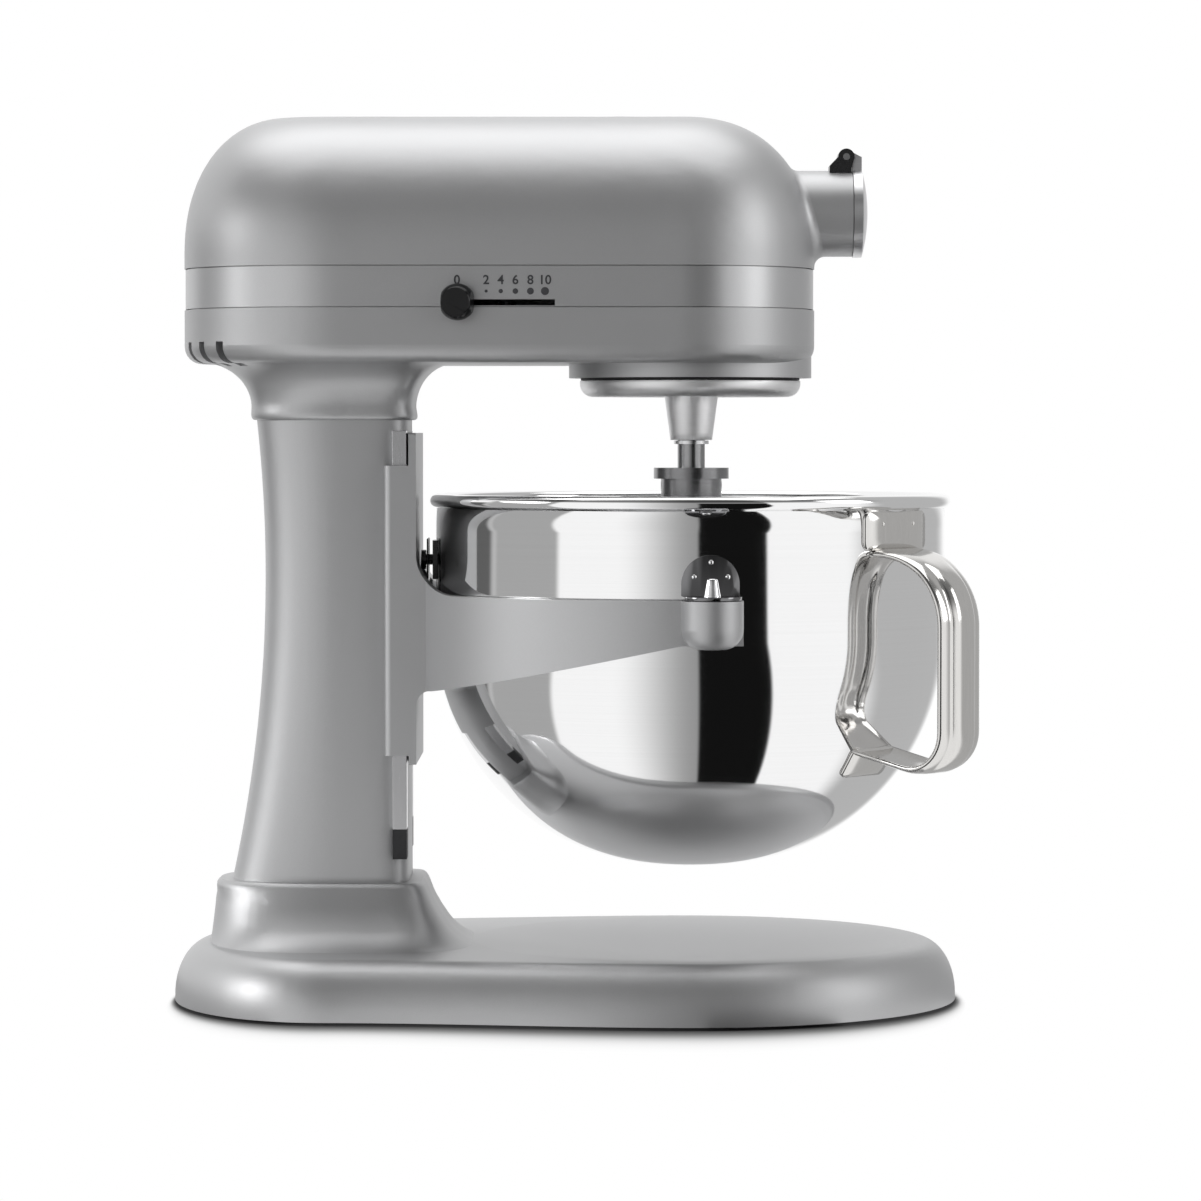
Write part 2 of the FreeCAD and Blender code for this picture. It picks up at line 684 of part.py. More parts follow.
def make_cord_gland():
    """Rubber gland in the far rear wall, with its cord hole."""
    start, end = gland_points()
    end = end - Y_AXIS * 2
    body = tube(GLAND_RADIUS, 3.6, start + Y_AXIS * 9, end)
    lip = tube(GLAND_RADIUS + 1.8, 3.6, end, end + Y_AXIS * 2)
    return join([body, lip])


def make_trim_band():
    """Band between the housing halves, slotted for the speed lever."""
    inner = HEAD_WALL + BAND_INSET
    behind = BAND_INSET + HEAD_WALL / 2
    core = ring_loft([head_ring(behind, behind, behind, z) for z in (BAND_Z, COVER_Z)])
    face_ends = (BAND_Z + SEAM, COVER_Z - SEAM)
    outer = ring_loft([head_ring(BAND_INSET, BAND_INSET, BAND_INSET, z) for z in face_ends])
    hollow = ring_loft([head_ring(inner, inner, inner, z) for z in (BAND_Z - 1, COVER_Z + 1)])
    half = SPEED_HALF_TRAVEL + SPEED_LEVER_WIDTH / 2 + 1
    half_height = SPEED_SLOT_HEIGHT / 2
    slot = box(Vector(SPEED_X - half, -HEAD_HALF_WIDTH - 5, SPEED_HEIGHT - half_height),
               Vector(SPEED_X + half, -HEAD_HALF_WIDTH + 15, SPEED_HEIGHT + half_height))
    return join([core, outer]).cut([hollow, slot])


def cover_body(inset):
    """The crowned cover, drawn in by a wall."""
    crown_z = COVER_Z + COVER_STRAIGHT
    rise = TOP_Z - crown_z - inset
    rings = []
    if inset:
        rings.append(head_ring(inset, inset, inset, COVER_Z - 1))
    rings += [head_ring(inset, inset, inset, z) for z in (COVER_Z, COVER_Z + COVER_STRAIGHT / 2)]
    steps = 9
    for step in range(steps):
        turn = math.radians(90 * step / (steps - 1))
        up = math.sin(turn) ** 0.92
        drawn = 1 - math.cos(turn) ** 0.92 if step < steps - 1 else 1
        rings.append(head_ring(inset + (COVER_REAR_CROWN - inset) * drawn,
                               inset + (COVER_FRONT_CROWN - inset) * drawn,
                               inset + (COVER_SIDE_CROWN - inset) * drawn, crown_z + rise * up))
    return ring_loft(rings)


def on_hub(edge):
    """Whether an edge lies on the hub's round face, away from its ends."""
    middle = edge.valueAt((edge.FirstParameter + edge.LastParameter) / 2)
    reach = math.hypot(middle.y, middle.z - HUB_HEIGHT)
    return abs(reach - HUB_RADIUS) < 0.01 and HUB_BUSH_X + 1 < middle.x < HUB_FACE_X - 1


def make_top_cover():
    """Crowned cover with the attachment hub."""
    axis_point = Vector(0, 0, HUB_HEIGHT)
    hub = rod(HUB_RADIUS, axis_point + X_AXIS * HUB_BUSH_X, axis_point + X_AXIS * HUB_FACE_X)
    solid = join([cover_body(0), hub])
    solid = solid.makeFillet(HUB_FILLET, [edge for edge in solid.Edges if on_hub(edge)])
    solid = join([solid.cut(cover_body(HEAD_WALL)), hub])
    bore = rod(HUB_BORE_RADIUS, axis_point + X_AXIS * HUB_BORE_X, axis_point + X_AXIS * (HUB_FACE_X + 1))
    seat = rod(HUB_BUSH_RADIUS, axis_point + X_AXIS * (HUB_BUSH_X - 1), axis_point + X_AXIS * HUB_BORE_X)
    thumb = rod(SCREW_RADIUS + RUNNING, Vector(THUMB_X, 0, HUB_HEIGHT),
                Vector(THUMB_X, HUB_RADIUS + 2, HUB_HEIGHT))
    return solid.cut([bore, seat, thumb])


def make_hub_bush():
    """Bronze bush of the hub shaft."""
    axis_point = Vector(0, 0, HUB_HEIGHT)
    return tube(HUB_BUSH_RADIUS, HUB_SHAFT_RADIUS + RUNNING, axis_point + X_AXIS * HUB_BUSH_X,
                axis_point + X_AXIS * HUB_BORE_X)


def make_hub_hinge_bracket():
    """Two ears on top of the hub that hold the cap's hinge pin."""
    gap = KNUCKLE_HALF_WIDTH + SLIDING
    foot_z = HUB_HEIGHT + HUB_RADIUS - 3
    rear_x = HINGE_X - KNUCKLE_RADIUS - EAR_FOOT
    front_x = HUB_FACE_X - SLIDING
    ears = []
    for low in (gap, -gap - EAR_THICKNESS):
        start = Vector(HINGE_X, low, HINGE_Z)
        eye = rod(KNUCKLE_RADIUS, start, start + Y_AXIS * EAR_THICKNESS)
        side = [(rear_x, foot_z), (front_x, foot_z), (front_x, foot_z + 4),
                (HINGE_X + KNUCKLE_RADIUS, HINGE_Z),
                (HINGE_X - KNUCKLE_RADIUS, HINGE_Z), (rear_x, foot_z + 5)]
        outline = [Vector(x, low, z) for x, z in side]
        ears.append(join([eye, prism(outline, Y_AXIS * EAR_THICKNESS)]))
    bridge = box(Vector(rear_x, -gap - EAR_THICKNESS, foot_z),
                 Vector(rear_x + EAR_FOOT, gap + EAR_THICKNESS, foot_z + 5))
    hub = rod(HUB_RADIUS, Vector(HUB_BORE_X, 0, HUB_HEIGHT), Vector(HUB_FACE_X + 5, 0, HUB_HEIGHT))
    pin = rod(HINGE_PIN_RADIUS, Vector(HINGE_X, -20, HINGE_Z), Vector(HINGE_X, 20, HINGE_Z))
    return join(ears + [bridge]).cut([hub, pin])


def make_hub_hinge_pin():
    """Pin of the hub cap's hinge."""
    half = KNUCKLE_HALF_WIDTH + SLIDING + EAR_THICKNESS + 0.6
    return rod(HINGE_PIN_RADIUS, Vector(HINGE_X, -half, HINGE_Z), Vector(HINGE_X, half, HINGE_Z))


def make_hub_cover():
    """Domed cap over the hub, with its hinge knuckle."""
    face = HUB_FACE_X + SLIDING
    rim = 0.6 * CAP_THICKNESS
    radius = HUB_RADIUS + 0.4
    start = Vector(face, 0, 0)
    corner = Vector(face, 0, radius)
    shoulder = Vector(face + rim, 0, radius)
    crown = Vector(face + CAP_THICKNESS, 0, 0)
    rise = CAP_THICKNESS - rim
    dome = (radius ** 2 + rise ** 2) / (2 * rise)
    half_way = radius * 0.5
    sag = dome - math.sqrt(dome ** 2 - half_way ** 2)
    edges = [Part.makeLine(start, corner), Part.makeLine(corner, shoulder),
             Part.Arc(shoulder, Vector(crown.x - sag, 0, half_way), crown).toShape(),
             Part.makeLine(crown, start)]
    cap = Part.Face(Part.Wire(edges)).revolve(Vector(0, 0, 0), X_AXIS, 360)
    cap.translate(Vector(0, 0, HUB_HEIGHT))
    low = Vector(HINGE_X, -KNUCKLE_HALF_WIDTH, HINGE_Z)
    knuckle = rod(KNUCKLE_RADIUS, low, low + Y_AXIS * 2 * KNUCKLE_HALF_WIDTH)
    below = HUB_HEIGHT + HUB_RADIUS - 4
    arm = [Vector(HINGE_X, low.y, HINGE_Z + KNUCKLE_RADIUS), Vector(face + rim, low.y, HINGE_Z),
           Vector(face + rim, low.y, below), Vector(face, low.y, below),
           Vector(face, low.y, HINGE_Z - KNUCKLE_RADIUS + 1), Vector(HINGE_X, low.y, HINGE_Z)]
    tongue = prism(arm, Y_AXIS * 2 * KNUCKLE_HALF_WIDTH)
    pin = rod(HINGE_PIN_RADIUS + RUNNING, Vector(HINGE_X, -20, HINGE_Z), Vector(HINGE_X, 20, HINGE_Z))
    return join([cap, tongue, knuckle]).cut(pin)


def make_hub_knob():
    """Thumb screw that clamps an attachment in the hub."""
    start = Vector(THUMB_X, HUB_BORE_RADIUS + 0.4, HUB_HEIGHT)
    inner = Vector(THUMB_X, HUB_RADIUS + 3, HUB_HEIGHT)
    shank = rod(SCREW_RADIUS, start, inner)
    collar = rod(5, Vector(THUMB_X, HUB_RADIUS + SLIDING, HUB_HEIGHT), inner)
    knob = rod(THUMB_KNOB_RADIUS, inner, inner + Y_AXIS * THUMB_KNOB_LENGTH)
    grips = []
    for index in range(8):
        angle = math.radians(45 * index)
        centre = inner + Vector(math.cos(angle), 0, math.sin(angle)) * (THUMB_KNOB_RADIUS + 1)
        grips.append(rod(2.2, centre - Y_AXIS, centre + Y_AXIS * (THUMB_KNOB_LENGTH + 1)))
    return join([shank, collar, knob.cut(grips)])


def make_hub_shaft():
    """Hub drive shaft with its square socket."""
    axis_point = Vector(0, 0, HUB_HEIGHT)
    bevel_x = MIX_X + GEAR_MODULE * BEVEL_TEETH / 2
    shaft = rod(HUB_SHAFT_RADIUS, axis_point + X_AXIS * (bevel_x - 1), axis_point + X_AXIS * HUB_BORE_X)
    half = HUB_SOCKET_SIDE / 2
    socket = box(Vector(HUB_BUSH_X + 2, -half, HUB_HEIGHT - half),
                 Vector(HUB_BORE_X + 1, half, HUB_HEIGHT + half))
    return shaft.cut(socket)


def involute(angle):
    """The involute function."""
    return math.tan(angle) - angle


def tooth_half_angles(teeth, module, addendum, dedendum, thinning):
    """Radius and half angle of one tooth from root to tip, for straight-cut teeth."""
    pitch = module * teeth / 2
    pressure = math.radians(20)
    round_base = pitch * math.cos(pressure)
    half_pitch_angle = (math.pi * module / 2 - thinning) / (2 * pitch)
    root = pitch - dedendum
    tip = pitch + addendum
    low = max(root, round_base)
    points = []
    for step in range(4):
        radius = low + (tip - low) * step / 3
        half = half_pitch_angle + involute(pressure) - involute(math.acos(round_base / radius))
        points.append((radius, half))
    if root < low:
        points.insert(0, (root, points[0][1]))
    return points


def tooth_ring(teeth, profile, turn):
    """Plan corners of a whole gear from one tooth's profile, first tooth at turn radians."""
    corners = []
    for index in range(teeth):
        centre = turn + 2 * math.pi * index / teeth
        flank = [(radius, centre - half) for radius, half in profile]
        back = [(radius, centre + half) for radius, half in reversed(profile)]
        corners += [(r * math.cos(a), r * math.sin(a)) for r, a in flank + back]
    return corners


def spur_gear(x, y, low, high, teeth, module, turn, thinning=0.16, addendum=0.95, dedendum=1.25):
    """A straight-cut gear blank with teeth."""
    profile = tooth_half_angles(teeth, module, addendum * module, dedendum * module, thinning)
    corners = [Vector(x + a, y + b, low) for a, b in tooth_ring(teeth, profile, turn)]
    return prism(corners, Z_AXIS * (high - low))


def bevel_profile(teeth, mate, module):
    """One bevel tooth as (radius, half angle) in the plane of its large end."""
    cone = math.atan2(teeth, mate)
    pitch = module * teeth / 2
    depth = pitch / math.tan(cone)
    flat = tooth_half_angles(teeth / math.cos(cone), module, 0.9 * module, 1.2 * module, 0.2)
    rolled = pitch / math.cos(cone)
    points = []
    for radius, half in flat:
        rise = radius - rolled
        at = pitch + rise * math.cos(cone)
        below = depth - rise * math.sin(cone)
        points.append((depth * at / below, half * radius / at))
    return points, depth


def bevel_gear(teeth, mate, module, face, turn):
    """A bevel gear with its cone's tip at the origin and its large end at -Z."""
    profile, depth = bevel_profile(teeth, mate, module)
    plan = tooth_ring(teeth, profile, turn)
    small = 1 - face * 2 / (module * math.hypot(teeth, mate))
    wide = [Vector(a, b, -depth) for a, b in plan]
    narrow = [Vector(a * small, b * small, -depth * small) for a, b in plan]
    faces = [Part.Face(Part.makePolygon(wide + wide[:1])), Part.Face(Part.makePolygon(narrow + narrow[:1]))]
    for index, corner in enumerate(wide):
        after = (index + 1) % len(wide)
        sides = [corner, wide[after], narrow[after], narrow[index], corner]
        faces.append(Part.Face(Part.makePolygon(sides)))
    shell = Part.makeShell(faces)
    solid = Part.Solid(shell)
    if solid.Volume < 0:
        solid.reverse()
    return solid


def make_ring_gear():
    """Fixed internal gear in the nose."""
    profile = tooth_half_angles(RING_TEETH, GEAR_MODULE, 1.25 * GEAR_MODULE, 0.95 * GEAR_MODULE, -0.16)
    low = RING_TOP - RING_GEAR_HEIGHT
    corners = [Vector(MIX_X + a, b, low) for a, b in tooth_ring(RING_TEETH, profile, -math.pi / 2)]
    teeth = prism(corners, Z_AXIS * RING_GEAR_HEIGHT)
    return disc(RING_GEAR_RADIUS, MIX_X, 0, low, RING_TOP).cut(teeth)


def make_shaft_bushes():
    """Flanged bush of the planetary shaft and the cup of the wheel shaft, in the belly floor."""
    inner = PLANET_SHAFT_RADIUS + RUNNING
    outer = PLANET_SHAFT_RADIUS + 4
    body = disc(outer, MIX_X, 0, RING_TOP, FLOOR_Z)
    flange = disc(outer + 2, MIX_X, 0, FLOOR_Z, BUSH_TOP)
    bush = join([body, flange]).cut(disc(inner, MIX_X, 0, RING_TOP - 1, BUSH_TOP + 1))
    cup = disc(WHEEL_SHAFT_RADIUS + BUSH_WALL, WHEEL_X, WHEEL_SIDE_OFFSET, FLOOR_Z - 4, FLOOR_Z)
    bore = disc(WHEEL_SHAFT_RADIUS + RUNNING, WHEEL_X, WHEEL_SIDE_OFFSET, FLOOR_Z - 4 + BUSH_FLOOR,
                FLOOR_Z + 1)
    return group([bush, cup.cut(bore)])


def make_planetary_carrier():
    """Turning disc under the nose, with the beater boss."""
    edge = CARRIER_RADIUS - CARRIER_EDGE
    profile = [Vector(0, 0, CARRIER_TOP), Vector(CARRIER_RADIUS, 0, CARRIER_TOP),
               Vector(CARRIER_RADIUS, 0, CARRIER_BOTTOM + CARRIER_EDGE), Vector(edge, 0, CARRIER_BOTTOM),
               Vector(0, 0, CARRIER_BOTTOM)]
    lean = CARRIER_EDGE * (1 - math.sqrt(0.5))
    bend = Vector(CARRIER_RADIUS - lean, 0, CARRIER_BOTTOM + lean)
    edges = [Part.makeLine(profile[0], profile[1]), Part.makeLine(profile[1], profile[2]),
             Part.Arc(profile[2], bend, profile[3]).toShape(), Part.makeLine(profile[3], profile[4]),
             Part.makeLine(profile[4], profile[0])]
    plate = Part.Face(Part.Wire(edges)).revolve(Vector(0, 0, 0), Z_AXIS, 360)
    plate.translate(Vector(MIX_X, 0, 0))
    boss = Part.makeCone(BOSS_END_RADIUS, BOSS_RADIUS, BOSS_LENGTH + 1, Vector(MIX_X, BEATER_Y, BOSS_END))
    solid = join([plate, boss])
    bore = disc(BEATER_SHAFT_RADIUS + RUNNING, MIX_X, BEATER_Y, BOSS_END - 1, CARRIER_TOP + 1)
    seat = disc(PLANET_SHAFT_RADIUS, MIX_X, 0, CARRIER_BOTTOM + 1.5, CARRIER_TOP + 1)
    return solid.cut([bore, seat])


def make_planetary_shaft():
    """Upright shaft from the carrier to the bevel gear."""
    top = HUB_HEIGHT - GEAR_MODULE * BEVEL_PINION_TEETH / 2 + 1
    return disc(PLANET_SHAFT_RADIUS, MIX_X, 0, CARRIER_BOTTOM + 1.5, top)


def train_turn():
    """Direction from the centre gear to the worm-wheel shaft."""
    return math.atan2(WHEEL_SIDE_OFFSET, WHEEL_X - MIX_X)


def make_centre_gear():
    """Large gear on the planetary shaft."""
    half_tooth = math.pi / CENTRE_TEETH
    gear = spur_gear(MIX_X, 0, TRAIN_Z, TRAIN_TOP, CENTRE_TEETH, TRAIN_MODULE, train_turn() + half_tooth)
    return gear.cut(disc(PLANET_SHAFT_RADIUS, MIX_X, 0, TRAIN_Z - 1, TRAIN_TOP + 1))


def make_bevel_gear():
    """Bevel gear on top of the planetary shaft."""
    half_tooth = math.pi / BEVEL_TEETH
    gear = bevel_gear(BEVEL_TEETH, BEVEL_PINION_TEETH, GEAR_MODULE, BEVEL_FACE, half_tooth)
    gear.translate(Vector(MIX_X, 0, HUB_HEIGHT))
    back = HUB_HEIGHT - GEAR_MODULE * BEVEL_PINION_TEETH / 2
    hub = disc(PLANET_SHAFT_RADIUS + 6, MIX_X, 0, back - 8, back)
    return join([gear, hub]).cut(disc(PLANET_SHAFT_RADIUS, MIX_X, 0, back - 9, back + 1))


def make_hub_bevel_pinion():
    """Bevel pinion on the hub shaft."""
    pinion = bevel_gear(BEVEL_PINION_TEETH, BEVEL_TEETH, GEAR_MODULE, BEVEL_FACE, 0)
    pinion.rotate(Vector(0, 0, 0), Y_AXIS, -90)
    pinion.translate(Vector(MIX_X, 0, HUB_HEIGHT))
    back = MIX_X + GEAR_MODULE * BEVEL_TEETH / 2
    hub = rod(HUB_SHAFT_RADIUS + 1.5, Vector(back, 0, HUB_HEIGHT), Vector(HUB_BUSH_X - 1, 0, HUB_HEIGHT))
    bore = rod(HUB_SHAFT_RADIUS, Vector(back - 1, 0, HUB_HEIGHT), Vector(HUB_BUSH_X, 0, HUB_HEIGHT))
    return join([pinion, hub]).cut(bore)


def make_gear_bracket():
    """Bridge over the centre gear that carries the upper shaft bearings."""
    leg_low = TRAIN_MODULE * (CENTRE_TEETH / 2 + 1) + 2
    leg_high = leg_low + 5
    top = BRIDGE_Z + 5
    plate = box(Vector(MIX_X - 9, -leg_high, BRIDGE_Z), Vector(MIX_X + 9, leg_high, top))
    arm = prism([Vector(MIX_X + 9, -8, BRIDGE_Z), Vector(MIX_X + 9, 16, BRIDGE_Z),
                 Vector(WHEEL_X - 9, WHEEL_SIDE_OFFSET + 9, BRIDGE_Z),
                 Vector(WHEEL_X - 9, WHEEL_SIDE_OFFSET - 9, BRIDGE_Z)], Z_AXIS * 5)
    legs = [box(Vector(MIX_X - 9, low, FLOOR_Z), Vector(MIX_X + 9, low + 5, top))
            for low in (leg_low, -leg_high)]
    shaft = disc(PLANET_SHAFT_RADIUS + RUNNING, MIX_X, 0, BRIDGE_Z - 1, top + 1)
    wheel = disc(WHEEL_SHAFT_RADIUS + RUNNING, WHEEL_X, WHEEL_SIDE_OFFSET, BRIDGE_Z - 1, top + 1)
    return join([plate, arm] + legs).cut([shaft, wheel])


def make_wheel_shaft():
    """Upright shaft of the worm wheel, cut with the train pinion."""
    foot = FLOOR_Z - 4 + BUSH_FLOOR + SLIDING
    shaft = disc(WHEEL_SHAFT_RADIUS, WHEEL_X, WHEEL_SIDE_OFFSET, foot, MOTOR_HEIGHT + 8)
    pinion = spur_gear(WHEEL_X, WHEEL_SIDE_OFFSET, TRAIN_Z, TRAIN_TOP, TRAIN_PINION_TEETH, TRAIN_MODULE,
                       train_turn() + math.pi)
    return join([shaft, pinion])


def make_worm_wheel():
    """Worm wheel, its teeth in three slices stepped to the worm's lead."""
    lead_angle = math.atan(WORM_STARTS * WORM_PITCH / (2 * math.pi * WORM_RADIUS))
    slice_height = WHEEL_FACE / 3
    step = slice_height * math.tan(lead_angle) / WHEEL_RADIUS
    facing = -math.pi / 2 + math.pi / WHEEL_TEETH
    slices = []
    for index in range(3):
        low = MOTOR_HEIGHT - WHEEL_FACE / 2 + slice_height * index
        slices.append(spur_gear(WHEEL_X, WHEEL_SIDE_OFFSET, low, low + slice_height, WHEEL_TEETH,
                                GEAR_MODULE, facing + step * (index - 1), 0.7, 0.8))
    hub = disc(WHEEL_SHAFT_RADIUS + 4, WHEEL_X, WHEEL_SIDE_OFFSET, MOTOR_HEIGHT - 8, MOTOR_HEIGHT + 7)
    bore = disc(WHEEL_SHAFT_RADIUS, WHEEL_X, WHEEL_SIDE_OFFSET, MOTOR_HEIGHT - 9, MOTOR_HEIGHT + 9)
    return join(slices + [hub]).cut(bore)


def make_worm():
    """Two-start worm on the motor shaft."""
    lead = WORM_STARTS * WORM_PITCH
    root = WORM_RADIUS - 1.2 * GEAR_MODULE
    tip = WORM_RADIUS + 0.8 * GEAR_MODULE
    half_tip = WORM_PITCH * 0.10
    half_root = WORM_PITCH * 0.30
    turns = (WORM_LENGTH - 2 * half_root - 1) / lead
    helix = Part.makeHelix(lead, turns * lead, WORM_RADIUS)
    corners = [Vector(root - 0.4, 0, -half_root), Vector(tip, 0, -half_tip),
               Vector(tip, 0, half_tip), Vector(root - 0.4, 0, half_root)]
    section = Part.makePolygon(corners + corners[:1])
    thread = Part.Wire(helix.Edges).makePipeShell([section], True, True)
    if thread.Volume < 0:
        thread.reverse()
    threads = []
    middle = turns / 2
    for start in range(WORM_STARTS):
        copy = thread.copy()
        copy.rotate(Vector(0, 0, 0), Z_AXIS, 360 * start / WORM_STARTS - 360 * middle)
        threads.append(copy)
    core = disc(root, 0, 0, -half_root - 0.5, turns * lead + half_root + 0.5)
    solid = join([core] + threads)
    solid.translate(Vector(0, 0, -turns * lead / 2))
    solid = solid.cut(disc(MOTOR_SHAFT_RADIUS, 0, 0, -WORM_LENGTH, WORM_LENGTH))
    solid.rotate(Vector(0, 0, 0), Y_AXIS, 90)
    solid.rotate(Vector(0, 0, 0), X_AXIS, 90)
    solid.translate(Vector(WHEEL_X, 0, MOTOR_HEIGHT))
    return solid


def make_beater_shaft():
    """Beater shaft in the carrier's boss."""
    shaft = disc(BEATER_SHAFT_RADIUS, MIX_X, BEATER_Y, BEATER_SHAFT_END, PINION_SEAT)
    return shaft.cut(beater_pin_bar())


def beater_pin_bar():
    """The drive pin's round bar, along X."""
    z = HOOK_HUB_TOP - 8
    return rod(BEATER_PIN_RADIUS, Vector(MIX_X - HOOK_HUB_RADIUS, BEATER_Y, z),
               Vector(MIX_X + HOOK_HUB_RADIUS, BEATER_Y, z))


def make_beater_pin():
    """Drive pin across the beater shaft."""
    return beater_pin_bar()


def make_beater_pinion():
    """Planet pinion with its journal, which stands on the beater shaft."""
    gear = spur_gear(MIX_X, BEATER_Y, RING_TOP - RING_GEAR_HEIGHT + SLIDING, RING_TOP - 2, PINION_TEETH,
                     GEAR_MODULE, -math.pi / 2)
    return join([gear, disc(BEATER_SHAFT_RADIUS, MIX_X, BEATER_Y, PINION_SEAT, RING_TOP - 2)])


def make_shaft_washer():
    """Washer under the boss."""
    top = BOSS_END - SLIDING
    return tube(BEATER_SHAFT_RADIUS + 1.8, BEATER_SHAFT_RADIUS, Vector(MIX_X, BEATER_Y, top - 1.6),
                Vector(MIX_X, BEATER_Y, top))


def make_dough_hook():
    """Dough hook: flanged hub and a round bar bent into a hook."""
    low = HOOK_HUB_TOP - HOOK_HUB_LENGTH
    flange = disc(HOOK_FLANGE_RADIUS, 0, 0, HOOK_HUB_TOP - 5, HOOK_HUB_TOP)
    hub = disc(HOOK_HUB_RADIUS, 0, 0, low, HOOK_HUB_TOP - 5)
    drop = low - 18
    out = math.radians(240)
    first = Vector(HOOK_OUT_RADIUS, 0, drop)
    bend = Vector(first.x + HOOK_OUT_RADIUS * math.cos(math.radians(210)), 0,
                  first.z + HOOK_OUT_RADIUS * math.sin(math.radians(210)))
    turn = Vector(first.x + HOOK_OUT_RADIUS * math.cos(out), 0, first.z + HOOK_OUT_RADIUS * math.sin(out))
    second = turn - Vector(0.5, 0, math.sqrt(0.75)) * HOOK_BELLY_RADIUS

    def belly(degrees):
        angle = math.radians(degrees)
        return second + Vector(math.cos(angle), 0, math.sin(angle)) * HOOK_BELLY_RADIUS

    path = Part.Wire([Part.makeLine(Vector(0, 0, low + 4), Vector(0, 0, drop)),
                      Part.Arc(Vector(0, 0, drop), bend, turn).toShape(),
                      Part.Arc(turn, belly(-20), belly(-100)).toShape()])
    section = Part.Wire(Part.makeCircle(HOOK_ROD_RADIUS, Vector(0, 0, low + 4), Z_AXIS))
    bar = path.makePipeShell([section], True, False)
    tip = Part.makeSphere(HOOK_ROD_RADIUS, belly(-100))
    solid = join([hub, flange, bar, tip])
    solid.translate(Vector(MIX_X, BEATER_Y, 0))
    bore = disc(BEATER_SHAFT_RADIUS, MIX_X, BEATER_Y, BEATER_SHAFT_END, HOOK_HUB_TOP + 1)
    return solid.cut([bore, beater_pin_bar()])


def motor_point(x, radius=0.0, angle=0.0):
    """A point at a distance from the motor's axis."""
    turn = math.radians(angle)
    return Vector(x, radius * math.cos(turn), MOTOR_HEIGHT + radius * math.sin(turn))


def make_motor_stator():
    """Laminated field frame on its foot."""
    frame = rod(STATOR_RADIUS, motor_point(STATOR_X), motor_point(STATOR_END))
    foot = box(Vector(STATOR_X, -22, FLOOR_Z), Vector(STATOR_END, 22, MOTOR_HEIGHT - STATOR_RADIUS / 2))
    flats = [box(Vector(STATOR_X - 1, side * STATOR_RADIUS - 3, FLOOR_Z),
                 Vector(STATOR_END + 1, side * STATOR_RADIUS + 3, TOP_Z)) for side in (-1, 1)]
    bore = rod(ROTOR_RADIUS + AIR_GAP, motor_point(STATOR_X - 1), motor_point(STATOR_END + 1))
    return join([frame, foot]).cut(flats + [bore])


def make_motor_windings():
    """Field coils at both ends of the stator."""
    inner = ROTOR_RADIUS + 4
    outer = STATOR_RADIUS - 6
    rear = tube(outer, inner, motor_point(STATOR_X - WINDING_LENGTH), motor_point(STATOR_X))
    front = tube(outer, inner, motor_point(STATOR_END), motor_point(STATOR_END + WINDING_LENGTH))
    return group([rear, front])


def make_motor_rotor():
    """Slotted armature on the motor shaft."""
    body = rod(ROTOR_RADIUS, motor_point(STATOR_X), motor_point(STATOR_END))
    slots = []
    for index in range(12):
        angle = 30 * index
        slots.append(rod(1.6, motor_point(STATOR_X - 1, ROTOR_RADIUS, angle),
                         motor_point(STATOR_END + 1, ROTOR_RADIUS, angle)))
    bore = rod(MOTOR_SHAFT_RADIUS, motor_point(STATOR_X - 1), motor_point(STATOR_END + 1))
    return body.cut(slots + [bore])


def make_motor_shaft():
    """Motor shaft from the rear bearing to the worm."""
    front = WHEEL_X + WORM_LENGTH / 2 + 3
    return rod(MOTOR_SHAFT_RADIUS, motor_point(REAR_BRACKET_X - 1), motor_point(front))


def make_commutator():
    """Copper commutator."""
    return tube(COMMUTATOR_RADIUS, MOTOR_SHAFT_RADIUS, motor_point(COMMUTATOR_X + SLIDING),
                motor_point(COMMUTATOR_X + COMMUTATOR_LENGTH))


def make_motor_fan():
    """Cooling fan in front of the stator."""
    plate = rod(FAN_RADIUS, motor_point(FAN_X), motor_point(FAN_X + 2))
    hub = rod(MOTOR_SHAFT_RADIUS + 5, motor_point(FAN_X), motor_point(FAN_X + FAN_LENGTH))
    blades = []
    for index in range(10):
        blade = box(Vector(FAN_X, MOTOR_SHAFT_RADIUS + 4, MOTOR_HEIGHT - 1),
                    Vector(FAN_X + FAN_LENGTH, FAN_RADIUS - 1, MOTOR_HEIGHT + 1))
        blade.rotate(motor_point(FAN_X), X_AXIS, 36 * index)
        blades.append(blade)
    bore = rod(MOTOR_SHAFT_RADIUS, motor_point(FAN_X - 1), motor_point(FAN_X + FAN_LENGTH + 1))
    return join([plate, hub] + blades).cut(bore)


def make_brush_holders():
    """Carbon brush boxes on the rear bracket, one each side."""
    low = COMMUTATOR_RADIUS + SLIDING
    holder = box(Vector(COMMUTATOR_X, low, MOTOR_HEIGHT - 4),
                 Vector(COMMUTATOR_X + COMMUTATOR_LENGTH - 1, low + 16, MOTOR_HEIGHT + 4))
    return group([holder, mirrored(holder)])


def motor_bracket(x, half_width):
    """A bearing bracket that stands on the belly floor."""
    head = rod(BEARING_RADIUS + 5, motor_point(x), motor_point(x + BRACKET_THICKNESS))
    leg = box(Vector(x, -half_width, FLOOR_Z), Vector(x + BRACKET_THICKNESS, half_width, MOTOR_HEIGHT))
    bore = rod(BEARING_RADIUS, motor_point(x - 1), motor_point(x + BRACKET_THICKNESS + 1))
    return join([head, leg]).cut(bore)


def make_motor_front_bracket():
    """Front bearing bracket."""
    return motor_bracket(FRONT_BRACKET_X, 13)


